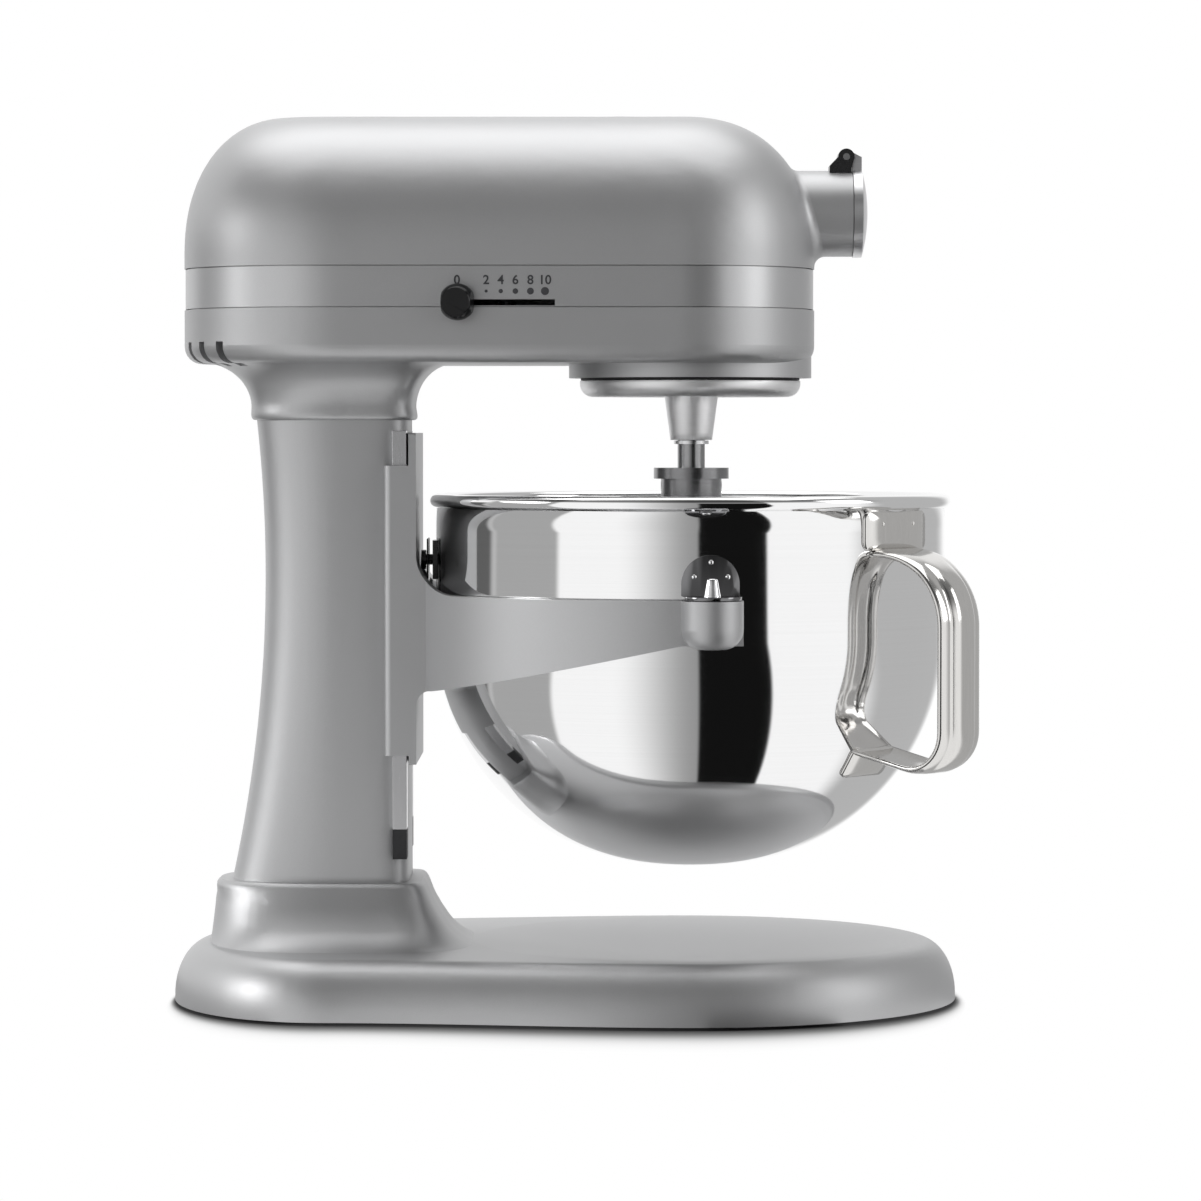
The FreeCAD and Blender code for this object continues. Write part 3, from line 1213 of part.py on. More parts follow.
def make_motor_rear_bracket():
    """Rear bearing bracket, wide enough for the brush boxes."""
    wings = box(Vector(REAR_BRACKET_X, -COMMUTATOR_RADIUS - 17, MOTOR_HEIGHT - 7),
                Vector(COMMUTATOR_X, COMMUTATOR_RADIUS + 17, MOTOR_HEIGHT + 7))
    bore = rod(BEARING_RADIUS, motor_point(REAR_BRACKET_X - 1), motor_point(COMMUTATOR_X + 1))
    return join([motor_bracket(REAR_BRACKET_X, 16), wings]).cut(bore)


def make_motor_bearings():
    """Bearings in the two motor brackets."""
    rings = []
    for x in (REAR_BRACKET_X, FRONT_BRACKET_X):
        rings.append(tube(BEARING_RADIUS, MOTOR_SHAFT_RADIUS + RUNNING, motor_point(x),
                          motor_point(x + BRACKET_THICKNESS)))
    return group(rings)


def at_speed_rest(shape):
    """Turn a lever piece from the middle of its slot to its rest at the rear end."""
    shape.rotate(Vector(SPEED_X, SPEED_PIVOT_OFFSET, 0), Z_AXIS, -SPEED_SWING)
    return shape


def tail_pin_place():
    """Where the lever's tail pin stands at rest."""
    turn = math.radians(-SPEED_SWING)
    return Vector(SPEED_X - SPEED_TAIL * math.sin(turn), SPEED_PIVOT_OFFSET + SPEED_TAIL * math.cos(turn), 0)


def make_speed_lever():
    """Flat lever from its pivot out through the band's slot."""
    low = SPEED_HEIGHT - SPEED_LEVER_THICKNESS / 2
    high = low + SPEED_LEVER_THICKNESS
    half = SPEED_LEVER_WIDTH / 2
    end = -HEAD_HALF_WIDTH - KNOB_DEPTH + 2
    strip = box(Vector(SPEED_X - half, end, low),
                Vector(SPEED_X + half, SPEED_PIVOT_OFFSET + SPEED_TAIL, high))
    eye = disc(SPEED_PIVOT_RADIUS + 4, SPEED_X, SPEED_PIVOT_OFFSET, low, high)
    tail = disc(half, SPEED_X, SPEED_PIVOT_OFFSET + SPEED_TAIL, low, high)
    pin = disc(1.5, SPEED_X, SPEED_PIVOT_OFFSET + SPEED_TAIL, low - 4, high)
    bore = disc(SPEED_PIVOT_RADIUS + RUNNING, SPEED_X, SPEED_PIVOT_OFFSET, low - 1, high + 1)
    return at_speed_rest(join([strip, eye, tail, pin]).cut(bore))


def make_speed_knob():
    """Ball knob with flat sides on the lever's end."""
    face = -HEAD_HALF_WIDTH - KNOB_STAND_OFF
    ball = Part.makeSphere(KNOB_HEIGHT / 2)
    ball.rotate(Vector(0, 0, 0), X_AXIS, 90)
    ball.translate(Vector(SPEED_X, face - KNOB_DEPTH / 2, SPEED_HEIGHT))
    low = Vector(SPEED_X - KNOB_WIDTH / 2, face - KNOB_DEPTH, SPEED_HEIGHT - KNOB_HEIGHT)
    ball = ball.common(box(low, low + Vector(KNOB_WIDTH, KNOB_DEPTH, 2 * KNOB_HEIGHT)))
    half = SPEED_LEVER_WIDTH / 2
    thick = SPEED_LEVER_THICKNESS / 2
    slot = box(Vector(SPEED_X - half, -HEAD_HALF_WIDTH - KNOB_DEPTH + 2, SPEED_HEIGHT - thick),
               Vector(SPEED_X + half, 0, SPEED_HEIGHT + thick))
    return at_speed_rest(ball.cut(slot))


def make_speed_pivot():
    """Post that the speed lever turns on."""
    low = SPEED_HEIGHT - SPEED_LEVER_THICKNESS / 2 - RUNNING
    high = SPEED_HEIGHT + SPEED_LEVER_THICKNESS / 2 + SLIDING
    post = disc(SPEED_PIVOT_RADIUS, SPEED_X, SPEED_PIVOT_OFFSET, FLOOR_Z - 4, high)
    shoulder = disc(SPEED_PIVOT_RADIUS + 3, SPEED_X, SPEED_PIVOT_OFFSET, FLOOR_Z, low)
    head = disc(SPEED_PIVOT_RADIUS + 2, SPEED_X, SPEED_PIVOT_OFFSET, high, high + 2)
    return join([post, shoulder, head])


def link_levels():
    """Lowest and highest face of the speed link."""
    high = SPEED_HEIGHT - SPEED_LEVER_THICKNESS / 2 - SLIDING
    return high - 2, high


def make_speed_link():
    """Sliding strip that carries the lever's setting to the speed board."""
    low, high = link_levels()
    place = tail_pin_place()
    strip = box(Vector(place.x - 5, place.y - 3.5, low),
                Vector(place.x + SPEED_LINK_LENGTH, place.y + 3.5, high))
    slot = box(Vector(place.x - 1.5 - 2 * SLIDING, place.y - 2.5, low - 1),
               Vector(place.x + 1.5 + 2 * SLIDING, place.y + 2.5, high + 1))
    return strip.cut(slot)


def make_speed_board():
    """Upright board that the speed link slides through."""
    low, high = link_levels()
    place = tail_pin_place()
    x = place.x + SPEED_LINK_LENGTH - 14
    board = box(Vector(x, place.y - 13, FLOOR_Z), Vector(x + 3, place.y + 1, SPEED_HEIGHT + 14))
    ledge = box(Vector(x, place.y - 13, low - 6), Vector(x + 3, place.y + 6, SPEED_HEIGHT + 14))
    slot = box(Vector(x - 1, place.y - 3.5 - SLIDING, low - SLIDING),
               Vector(x + 4, place.y + 3.5 + SLIDING, high + SLIDING))
    return join([board, ledge]).cut(slot)


def yoke_side():
    """Side view of the carriage's arms, swept into the slide plate above and below."""
    low_end = ARM_ROOT_BOTTOM - ARM_LOW_SWEEP
    slant = math.sqrt(0.5)
    corners = [(SLIDE_FRONT + ARM_SWEEP, PAD_TOP), (SLIDE_FRONT, ARM_ROOT_TOP), (SLIDE_X, ARM_ROOT_TOP),
               (SLIDE_X, low_end), (SLIDE_FRONT, low_end), (SLIDE_FRONT + ARM_LOW_SWEEP, ARM_ROOT_BOTTOM),
               (BRACKET_X - PAD_RADIUS, ARM_END_BOTTOM), (BRACKET_X + PAD_RADIUS, ARM_END_BOTTOM),
               (BRACKET_X + PAD_RADIUS, PAD_TOP)]
    reach = PAD_OFFSET + PAD_RADIUS + 10
    points = [Vector(x, -reach, z) for x, z in corners]
    upper = Vector(SLIDE_FRONT + ARM_SWEEP * (1 - slant), -reach, ARM_ROOT_TOP - ARM_SWEEP * slant)
    lower = Vector(SLIDE_FRONT + ARM_LOW_SWEEP * (1 - slant), -reach, low_end + ARM_LOW_SWEEP * slant)
    middles = {0: upper, 4: lower}
    edges = []
    for index, start in enumerate(points):
        end = points[(index + 1) % len(points)]
        if index in middles:
            edges.append(Part.Arc(start, middles[index], end).toShape())
        else:
            edges.append(Part.makeLine(start, end))
    return Part.Face(Part.Wire(edges)).extrude(Y_AXIS * 2 * reach)


def yoke_arms():
    """Arms round the bowl, with square roots in front of the channels."""
    low = ARM_ROOT_BOTTOM - ARM_LOW_SWEEP
    ring = disc(ARM_OUTER, MIX_X, 0, low, ARM_ROOT_TOP)
    inner = COLUMN_HALF_WIDTH + SLIDE_GAP
    root = box(Vector(SLIDE_X, inner, low), Vector(MIX_X - ARM_INNER * 0.8, SLIDE_HALF_WIDTH, ARM_ROOT_TOP))
    room = disc(ARM_INNER, MIX_X, 0, low - 1, ARM_ROOT_TOP + 1)
    return join([ring, root, mirrored(root)]).cut(room).common(yoke_side())


def pad(side):
    """Round pad at an arm's end, rounded below."""
    low = PAD_TOP - PAD_HEIGHT
    solid = disc(PAD_RADIUS, BRACKET_X, side * PAD_OFFSET, low, PAD_TOP)
    lower = [edge for edge in solid.Edges if abs(edge.BoundBox.ZMax - low) < 0.01]
    solid = solid.makeFillet(PAD_ROUND, lower)
    return solid


def slide_cheek():
    """Channel that hooks round one guide bar."""
    rear = COLUMN_FRONT_X - 0.5 - WAY_WIDTH - SLIDING - SLIDE_HOOK
    inside = COLUMN_HALF_WIDTH + SLIDE_GAP
    block = box(Vector(rear, inside, SLIDE_BOTTOM), Vector(SLIDE_FRONT, SLIDE_HALF_WIDTH, SLIDE_TOP))
    outer = [edge for edge in block.Edges
             if edge.BoundBox.ZLength > 1 and edge.BoundBox.YMin > SLIDE_HALF_WIDTH - 0.01]
    block = block.makeFillet(SLIDE_HOOK * 0.9, outer)
    room = box(Vector(rear + SLIDE_HOOK, 0, SLIDE_BOTTOM - 1),
               Vector(SLIDE_X, WAY_HALF_WIDTH + SLIDING, SLIDE_TOP + 1))
    return block.cut(room)


def make_bowl_support():
    """Bowl carriage: slide plate, channels, yoke arms, pads and the lift lug."""
    arms = yoke_arms()
    plate = box(Vector(SLIDE_X, -SLIDE_HALF_WIDTH, SLIDE_PLATE_BOTTOM),
                Vector(SLIDE_FRONT, SLIDE_HALF_WIDTH, SLIDE_PLATE_TOP))
    column_side = [edge for edge in plate.Edges
                   if edge.BoundBox.ZLength < 0.01 and edge.BoundBox.YLength < 0.01]
    plate = plate.makeFillet(0.8, column_side)
    cheek = slide_cheek()
    room = disc(BOWL_RADIUS + 1, MIX_X, 0, PAD_TOP - PAD_HEIGHT - 1, PAD_TOP + 1)
    pads = [pad(side).cut(room) for side in (-1, 1)]
    lug_end = CRANK_REST_X - CRANK_RADIUS + (LIFT_X - CRANK_REST_X) - LIFT_ROLLER_RADIUS - 6
    lug = box(Vector(lug_end, -LUG_HALF_WIDTH, LUG_Z - LUG_HALF_HEIGHT),
              Vector(SLIDE_FRONT, LUG_HALF_WIDTH, LUG_Z + LUG_HALF_HEIGHT))
    solid = join([plate, arms, cheek, mirrored(cheek), lug] + pads)
    return solid.cut([lug_slot(), latch_recess()] + pin_bars(PIN_RADIUS * 0.6))


def lug_slot():
    """Slot in the lift lug that the crank's roller works in."""
    room = LIFT_ROLLER_RADIUS + LIFT_ROLLER_PLAY
    far = LIFT_X - CRANK_RADIUS - room
    near = CRANK_REST_X + room
    wide = LUG_HALF_WIDTH + 1
    return box(Vector(far, -wide, LUG_Z - room), Vector(near, wide, LUG_Z + room))


def latch_recess():
    """Space in the yoke for the latch and the bowl's rear pin."""
    return box(Vector(SLIDE_FRONT, -15, YOKE_SEAT_Z), Vector(MIX_X - ARM_INNER + 5, 15, ARM_ROOT_TOP + 1))


def pin_bars(radius):
    """Round bars down into the pads for the locating pins."""
    return [disc(radius, BRACKET_X, side * PAD_OFFSET, PAD_TOP - 12, PAD_TOP) for side in (-1, 1)]


def make_locating_pins():
    """Tapered pins that hold the bowl's side brackets."""
    pins = []
    for stub, side in zip(pin_bars(PIN_RADIUS * 0.6), (-1, 1)):
        seat = Vector(BRACKET_X, side * PAD_OFFSET, PAD_TOP)
        cone = Part.makeCone(PIN_RADIUS, PIN_RADIUS * 0.55, PIN_HEIGHT, seat)
        top = [edge for edge in cone.Edges if edge.BoundBox.ZMin > PAD_TOP + PIN_HEIGHT - 0.01]
        pins.append(join([cone.makeFillet(1.2, top), stub]))
    return group(pins)


def latch_x():
    """Rear face of the latch blade."""
    return MIX_X - BOWL_RADIUS - 4.0


def latch_screw_places():
    """Screws in the latch's foot."""
    x = (SLIDE_FRONT + latch_x()) / 2 + 0.4
    return [(x, -9), (x, 9)]


def make_latch_spring():
    """Notched spring blade that grips the bowl's rear pin."""
    blade = LATCH_SHEET
    x = latch_x()
    foot = box(Vector(SLIDE_FRONT, -13, YOKE_SEAT_Z), Vector(x + blade, 13, YOKE_SEAT_Z + blade))
    upright = box(Vector(x, -11, YOKE_SEAT_Z), Vector(x + blade, 11, BRACKET_TOP + 5))
    centre = Vector(x - 1, 0, rear_pin_height())
    notch = rod(REAR_PIN_RADIUS + SLIDING, centre, centre + X_AXIS * 4)
    throat = box(Vector(x - 1, -REAR_PIN_RADIUS - SLIDING, rear_pin_height()),
                 Vector(x + 3, REAR_PIN_RADIUS + SLIDING, BRACKET_TOP + 6))
    return join([foot, upright]).cut([notch, throat])


def make_latch_screws():
    """Button screws of the latch."""
    screws = []
    for x, y in latch_screw_places():
        screws.append(disc(1.3, x, y, YOKE_SEAT_Z + LATCH_SHEET, YOKE_SEAT_Z + 3))
    return group(screws)


def rear_pin_height():
    """Height of the bowl's rear pin."""
    return PAD_TOP + 15


def bowl_outline(thickness):
    """Bowl profile from the middle of the floor to the rim, drawn in by a thickness."""
    bend_r = BOWL_RADIUS - BOWL_CORNER_RADIUS
    bend_z = BOWL_BOTTOM + BOWL_CORNER_RADIUS - 0.4
    radius = BOWL_CORNER_RADIUS - thickness
    floor = BOWL_BOTTOM + thickness
    floor_r = bend_r + math.sqrt(radius ** 2 - (bend_z - floor) ** 2)
    start = math.atan2(floor - bend_z, floor_r - bend_r)
    middle = Vector(bend_r + radius * math.cos(start / 2), 0, bend_z + radius * math.sin(start / 2))
    wall = Vector(BOWL_RADIUS - thickness, 0, bend_z)
    corner = Vector(floor_r, 0, floor)
    return [Part.makeLine(Vector(0, 0, floor), corner), Part.Arc(corner, middle, wall).toShape(),
            Part.makeLine(wall, Vector(wall.x, 0, BOWL_TOP))]


def bowl_solid(thickness):
    """The bowl's outside, or its inside, as a full solid."""
    edges = bowl_outline(thickness)
    floor = edges[0].Vertexes[0].Point
    rim = edges[2].Vertexes[1].Point
    edges += [Part.makeLine(rim, Vector(0, 0, rim.z)), Part.makeLine(Vector(0, 0, rim.z), floor)]
    solid = Part.Face(Part.Wire(edges)).revolve(Vector(0, 0, 0), Z_AXIS, 360)
    solid.translate(Vector(MIX_X, 0, 0))
    return solid


def make_bowl():
    """Thin steel bowl with a rolled rim."""
    shell = bowl_solid(0).cut(bowl_solid(BOWL_WALL))
    rim = Part.makeTorus(BOWL_RADIUS - BOWL_WALL / 2, RIM_RADIUS, Vector(MIX_X, 0, BOWL_TOP))
    return join([shell, rim])


def wall_patch(low, high, half_width, sheet):
    """A sheet that lies on the bowl's straight wall, facing +X."""
    ring = tube(BOWL_RADIUS + sheet, BOWL_RADIUS, Vector(0, 0, low), Vector(0, 0, high))
    front = box(Vector(0, -half_width, low), Vector(BOWL_RADIUS + sheet + 1, half_width, high))
    return ring.common(front)


def place_on_bowl(shape, degrees):
    """Turn a piece made facing +X round the bowl."""
    shape.rotate(Vector(0, 0, 0), Z_AXIS, degrees)
    shape.translate(Vector(MIX_X, 0, 0))
    return shape


def make_bowl_side_brackets():
    """Welded brackets that sit on the carriage's pins."""
    reach = math.hypot(PAD_OFFSET, BRACKET_REACH)
    lean = math.degrees(math.atan2(BRACKET_REACH, PAD_OFFSET))
    tongue = box(Vector(BOWL_RADIUS, -BRACKET_HALF_WIDTH, BRACKET_Z),
                 Vector(reach, BRACKET_HALF_WIDTH, BRACKET_Z + BRACKET_SHEET))
    end = disc(BRACKET_HALF_WIDTH, reach, 0, BRACKET_Z, BRACKET_Z + BRACKET_SHEET)
    hole = disc(PIN_RADIUS + SLIDING, reach, 0, BRACKET_Z - 1, BRACKET_Z + 5)
    patch = wall_patch(BRACKET_Z, BRACKET_TOP, BRACKET_HALF_WIDTH, BRACKET_SHEET)
    round_z = BRACKET_TOP - BRACKET_HALF_WIDTH
    arch = rod(BRACKET_HALF_WIDTH, Vector(0, 0, round_z), Vector(BOWL_RADIUS + 9, 0, round_z))
    below = box(Vector(0, -BRACKET_HALF_WIDTH, BRACKET_Z),
                Vector(BOWL_RADIUS + 9, BRACKET_HALF_WIDTH, round_z))
    bracket = join([patch.common(join([arch, below])), join([tongue, end]).cut(hole)])
    bracket = bracket.cut(disc(BOWL_RADIUS, 0, 0, BRACKET_Z - 1, BRACKET_TOP + 1))
    far = place_on_bowl(bracket, 90 - lean)
    return group([far, mirrored(far)])


def make_bowl_rear_bracket():
    """Rear bracket and headed pin that the latch grips."""
    z = rear_pin_height()
    patch = wall_patch(z - 9, z + 9, 10, BRACKET_SHEET)
    end = Vector(BOWL_RADIUS + 6.8, 0, z)
    pin = rod(REAR_PIN_RADIUS, Vector(BOWL_RADIUS + BRACKET_SHEET - 0.5, 0, z), end)
    head = rod(REAR_PIN_RADIUS + 2, end - X_AXIS * 2.2, end)
    return place_on_bowl(join([patch, pin, head]), 180)


def bent_strip(points, radii, sheet):
    """Edges of a strip's outline: a bent line at half a sheet to each side, round at its corners."""
    def offset_line(side):
        lines = []
        for a, b in zip(points, points[1:]):
            along = (b - a).normalize()
            across = Vector(-along.z, 0, along.x) * side * sheet / 2
            lines.append((a + across, b + across, along))
        corners = [lines[0][0]]
        edges = []
        for index, (before, after) in enumerate(zip(lines, lines[1:])):
            turn = before[2].getAngle(after[2])
            left = before[2].cross(after[2]).y < 0
            radius = radii[index] + (-side if left else side) * sheet / 2
            cut = radius * math.tan(turn / 2)
            spread = after[0] - before[1]
            shift = spread.dot(before[2])
            meet = before[1] + before[2] * (shift / (1 + math.cos(turn))) if turn else before[1]
            start = meet - before[2] * cut
            end = meet + after[2] * cut
            bisect = (after[2] - before[2]).normalize()
            centre = meet + bisect * (radius / math.cos(turn / 2))
            middle = centre - bisect * radius
            edges.append(Part.makeLine(corners[-1], start))
            edges.append(Part.Arc(start, middle, end).toShape())
            corners.append(end)
        edges.append(Part.makeLine(corners[-1], lines[-1][1]))
        return edges
    return offset_line(1), offset_line(-1)


def make_bowl_handle():
    """Strap handle: top tab on the wall, bent strap, lower end on the bowl's curve."""
    half = HANDLE_WIDTH / 2
    start = Vector(BOWL_RADIUS - 4, -half, HANDLE_TOP)
    corner = Vector(HANDLE_REACH - HANDLE_SHEET / 2, -half, HANDLE_TOP)
    low = Vector(HANDLE_REACH - HANDLE_SHEET / 2, -half, HANDLE_BOTTOM)
    end = Vector(BOWL_RADIUS - 24, -half, HANDLE_BOTTOM + 13)
    one, other = bent_strip([start, corner, low, end], [HANDLE_TOP_BEND, HANDLE_LOW_BEND], HANDLE_SHEET)
    ends = [Part.makeLine(one[0].Vertexes[0].Point, other[0].Vertexes[0].Point),
            Part.makeLine(one[-1].Vertexes[1].Point, other[-1].Vertexes[1].Point)]
    wire = Part.Wire(Part.__sortEdges__(one + other + ends))
    strap = Part.Face(wire).extrude(Y_AXIS * HANDLE_WIDTH)
    tab_top = BOWL_TOP - RIM_RADIUS - 0.4
    tab = wall_patch(HANDLE_TOP - HANDLE_SHEET / 2, tab_top, HANDLE_TAB_WIDTH / 2, HANDLE_SHEET)
    solid = place_on_bowl(join([strap, tab]), HANDLE_ANGLE)
    return solid.cut(bowl_solid(0))


def make_lift_shaft():
    """Lift shaft with its crank and roller pin."""
    y = LUG_HALF_WIDTH + 2 * SLIDING
    web = 5.0
    centre = Vector(LIFT_X, y, LIFT_HEIGHT)
    pin_place = Vector(CRANK_REST_X, y, LUG_Z)
    outer = Vector(LIFT_X, LIFT_OUTSIDE_Y + LIFT_HANDLE_THICKNESS, LIFT_HEIGHT)
    shaft = rod(LIFT_SHAFT_RADIUS, centre, outer)
    hub = rod(LIFT_SHAFT_RADIUS + 3, centre, centre + Y_AXIS * web)
    eye = rod(LIFT_ROLLER_RADIUS + 3, pin_place, pin_place + Y_AXIS * web)
    along = (pin_place - centre).normalize()
    across = Vector(-along.z, 0, along.x) * (LIFT_ROLLER_RADIUS + 3)
    arm = prism([centre + across, pin_place + across, pin_place - across, centre - across], Y_AXIS * web)
    roller = rod(LIFT_ROLLER_RADIUS, pin_place - Y_AXIS * (y + LUG_HALF_WIDTH), pin_place + Y_AXIS)
    return join([shaft, hub, eye, arm, roller])


def make_lift_bush():
    """Bush of the lift shaft in the column's far wall."""
    return tube(LIFT_BUSH_RADIUS, LIFT_SHAFT_RADIUS + RUNNING, Vector(LIFT_X, 19, LIFT_HEIGHT),
                Vector(LIFT_X, LIFT_OUTSIDE_Y - SLIDING, LIFT_HEIGHT))


def make_lift_handle():
    """Flat lift lever, upright while the bowl is raised."""
    y = LIFT_OUTSIDE_Y
    half = LIFT_HANDLE_WIDTH / 2
    top = LIFT_HEIGHT + LIFT_HANDLE_LENGTH
    blade = box(Vector(LIFT_X - half, y, LIFT_HEIGHT), Vector(LIFT_X + half, y + LIFT_HANDLE_THICKNESS, top))
    eye = rod(LIFT_SHAFT_RADIUS + 5, Vector(LIFT_X, y, LIFT_HEIGHT),
              Vector(LIFT_X, y + LIFT_HANDLE_THICKNESS, LIFT_HEIGHT))
    bore = rod(LIFT_SHAFT_RADIUS, Vector(LIFT_X, y - 1, LIFT_HEIGHT),
               Vector(LIFT_X, y + LIFT_HANDLE_THICKNESS + 1, LIFT_HEIGHT))
    return join([blade, eye]).cut(bore)


def make_lift_grip():
    """Ball-ended grip on the lift lever."""
    top = LIFT_HEIGHT + LIFT_HANDLE_LENGTH
    y = LIFT_OUTSIDE_Y + LIFT_HANDLE_THICKNESS
    stem = rod(LIFT_GRIP_RADIUS * 0.6, Vector(LIFT_X, y, top - 8), Vector(LIFT_X, y + 8, top - 8))
    ball = Part.makeSphere(LIFT_GRIP_RADIUS, Vector(LIFT_X, y + 13, top - 8))
    return join([stem, ball])


NODES = {
    "base": make_base,
    "base_feet": make_base_feet,
    "column": make_column,
    "column_screws": make_column_screws,
    "neck_screws": make_neck_screws,
    "column_ways": make_column_ways,
    "way_stops": make_way_stops,
    "lower_housing": make_lower_housing,
    "trim_band": make_trim_band,
    "top_cover": make_top_cover,
    "cord_gland": make_cord_gland,
    "hub_bush": make_hub_bush,
    "hub_hinge_bracket": make_hub_hinge_bracket,
    "hub_hinge_pin": make_hub_hinge_pin,
    "hub_cover": make_hub_cover,
    "hub_knob": make_hub_knob,
    "hub_shaft": make_hub_shaft,
    "hub_bevel_pinion": make_hub_bevel_pinion,
    "ring_gear": make_ring_gear,
    "shaft_bushes": make_shaft_bushes,
    "planetary_carrier": make_planetary_carrier,
    "planetary_shaft": make_planetary_shaft,
    "centre_gear": make_centre_gear,
    "bevel_gear": make_bevel_gear,
    "gear_bracket": make_gear_bracket,
    "worm_wheel": make_worm_wheel,
    "wheel_shaft": make_wheel_shaft,
    "beater_shaft": make_beater_shaft,
    "beater_pinion": make_beater_pinion,
    "shaft_washer": make_shaft_washer,
    "beater_pin": make_beater_pin,
    "dough_hook": make_dough_hook,
    "motor_stator": make_motor_stator,
    "motor_windings": make_motor_windings,
    "motor_rotor": make_motor_rotor,
    "motor_shaft": make_motor_shaft,
    "worm": make_worm,
    "commutator": make_commutator,
    "motor_fan": make_motor_fan,
    "brush_holders": make_brush_holders,
    "motor_front_bracket": make_motor_front_bracket,
    "motor_rear_bracket": make_motor_rear_bracket,
    "motor_bearings": make_motor_bearings,
    "speed_lever": make_speed_lever,
    "speed_knob": make_speed_knob,
    "speed_pivot": make_speed_pivot,
    "speed_link": make_speed_link,
    "speed_board": make_speed_board,
    "bowl_support": make_bowl_support,
    "locating_pins": make_locating_pins,
    "latch_spring": make_latch_spring,
    "latch_screws": make_latch_screws,
    "bowl": make_bowl,
    "bowl_handle": make_bowl_handle,
    "bowl_side_brackets": make_bowl_side_brackets,
    "bowl_rear_bracket": make_bowl_rear_bracket,
    "lift_shaft": make_lift_shaft,
    "lift_handle": make_lift_handle,
    "lift_grip": make_lift_grip,
    "lift_bush": make_lift_bush,
}


def main():
    """Build each piece and write its file."""
    os.makedirs("parts", exist_ok=True)
    for name, make in NODES.items():
        make().exportStep("parts/" + name + ".step")


main()
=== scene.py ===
import math

import bmesh
import bpy
from mathutils import Matrix, Vector


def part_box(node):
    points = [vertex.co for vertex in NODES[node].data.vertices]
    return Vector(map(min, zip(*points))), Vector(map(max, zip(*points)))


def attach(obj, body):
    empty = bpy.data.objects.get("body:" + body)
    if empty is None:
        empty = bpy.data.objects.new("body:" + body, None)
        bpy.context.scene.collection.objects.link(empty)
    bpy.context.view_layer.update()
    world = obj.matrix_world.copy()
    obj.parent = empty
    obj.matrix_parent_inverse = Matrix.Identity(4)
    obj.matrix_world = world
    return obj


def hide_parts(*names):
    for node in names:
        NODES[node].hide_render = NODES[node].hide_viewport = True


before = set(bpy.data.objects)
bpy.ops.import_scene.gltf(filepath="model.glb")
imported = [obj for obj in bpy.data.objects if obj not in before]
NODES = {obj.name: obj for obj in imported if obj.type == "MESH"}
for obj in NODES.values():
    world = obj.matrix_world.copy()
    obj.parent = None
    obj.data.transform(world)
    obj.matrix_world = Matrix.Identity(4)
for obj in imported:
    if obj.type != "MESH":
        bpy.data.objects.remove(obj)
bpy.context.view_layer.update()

bl_info = {
    "name": "Bowl-lift stand mixer",
    "version": (1, 0, 0),
    "blender": (4, 5, 0),
    "location": "View3D > Sidebar > Mixer",
    "description": "Finishes, bowl, speed scale and studio for a bowl-lift stand mixer",
    "category": "Object",
}

BOWL_LOW, BOWL_HIGH = (Vector(corner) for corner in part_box("bowl"))
MIX_X = (BOWL_LOW.x + BOWL_HIGH.x) / 2
BAND_LOW = Vector(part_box("trim_band")[0])

# Numbers of the speed scale, and where each stands along X from the bowl's axis.
SCALE_SPOTS = {0: -0.1067, 2: -0.0935, 4: -0.0869, 6: -0.0803, 8: -0.0735, 10: -0.0669}
NUMBER_LIFT = 0.0105
DOT_LIFT = 0.0073
PRINT_DEPTH = 0.00008
CAP_HEIGHT = 0.69

# Spot welds on a side bracket: across from its middle, and up from its lower edge.
BRACKET_WELDS = ((-0.0075, 0.0100), (0.0075, 0.0100), (0.0, 0.0165))
BRACKET_REACH = 0.0016
WELD_HEIGHT = 0.0006

# Strap handle: the tab's height, the lower run's lift, how far the ends go in and up, and the bends.
TAB_HEIGHT = 0.0178
STRAP_LIFT = 0.001
STRAP_TOP_IN = 0.001
STRAP_FOOT_IN = 0.0165
STRAP_FOOT_UP = 0.0118
STRAP_BENDS = (0.034, 0.018)
STRAP_STEP = 0.0024

# Ring between the nose and the turning disc.
LIP_INSET = 0.0004
LIP_WALL = 0.0009
LIP_CLEARANCE = 0.00025
LIP_TURNS = 96

# Darker zones of the studio by bearing, in radians from the camera's side and positive to the right.
# A zone starts between its first two bearings, ends between the next two and takes the last share of light.
WALL = (-1.80, -1.68, -1.11, -1.05, 0.60)
SLOPE = (-0.60, 0.05, 0.56, 0.59, 0.68)
FLANK = (1.25, 1.60, 2.50, 2.90, 0.52)
CARD = (0.03, 0.06, 0.56, 0.59, 0.98)
GLOOM = (-2.30, -2.12, -1.80, -1.70, 0.88)

# Lamps: name, place, target, width, height, power in watts and spread in degrees.
LAMPS = (
    ("overhead", (-0.05, 0.08, 1.55), (-0.05, 0.05, 0.2), 1.9, 1.3, 12.5, 180.0),
    ("left_panel", (-1.35, -0.25, 0.47), (-0.15, 0, 0.03), 0.8, 0.4, 0.42, 36.0),
    ("right_panel", (1.7, -0.5, 0.9), (0.05, 0, 0.2), 0.7, 1.1, 5.0, 180.0),
)
CAMERA_PLACE = (0.0135, -2.27, 0.266)
CAMERA_TILT = math.radians(88.0)
CAMERA_LENS = 145.7
SENSOR_WIDTH = 36.0
FLOOR_SIZE = 14.0


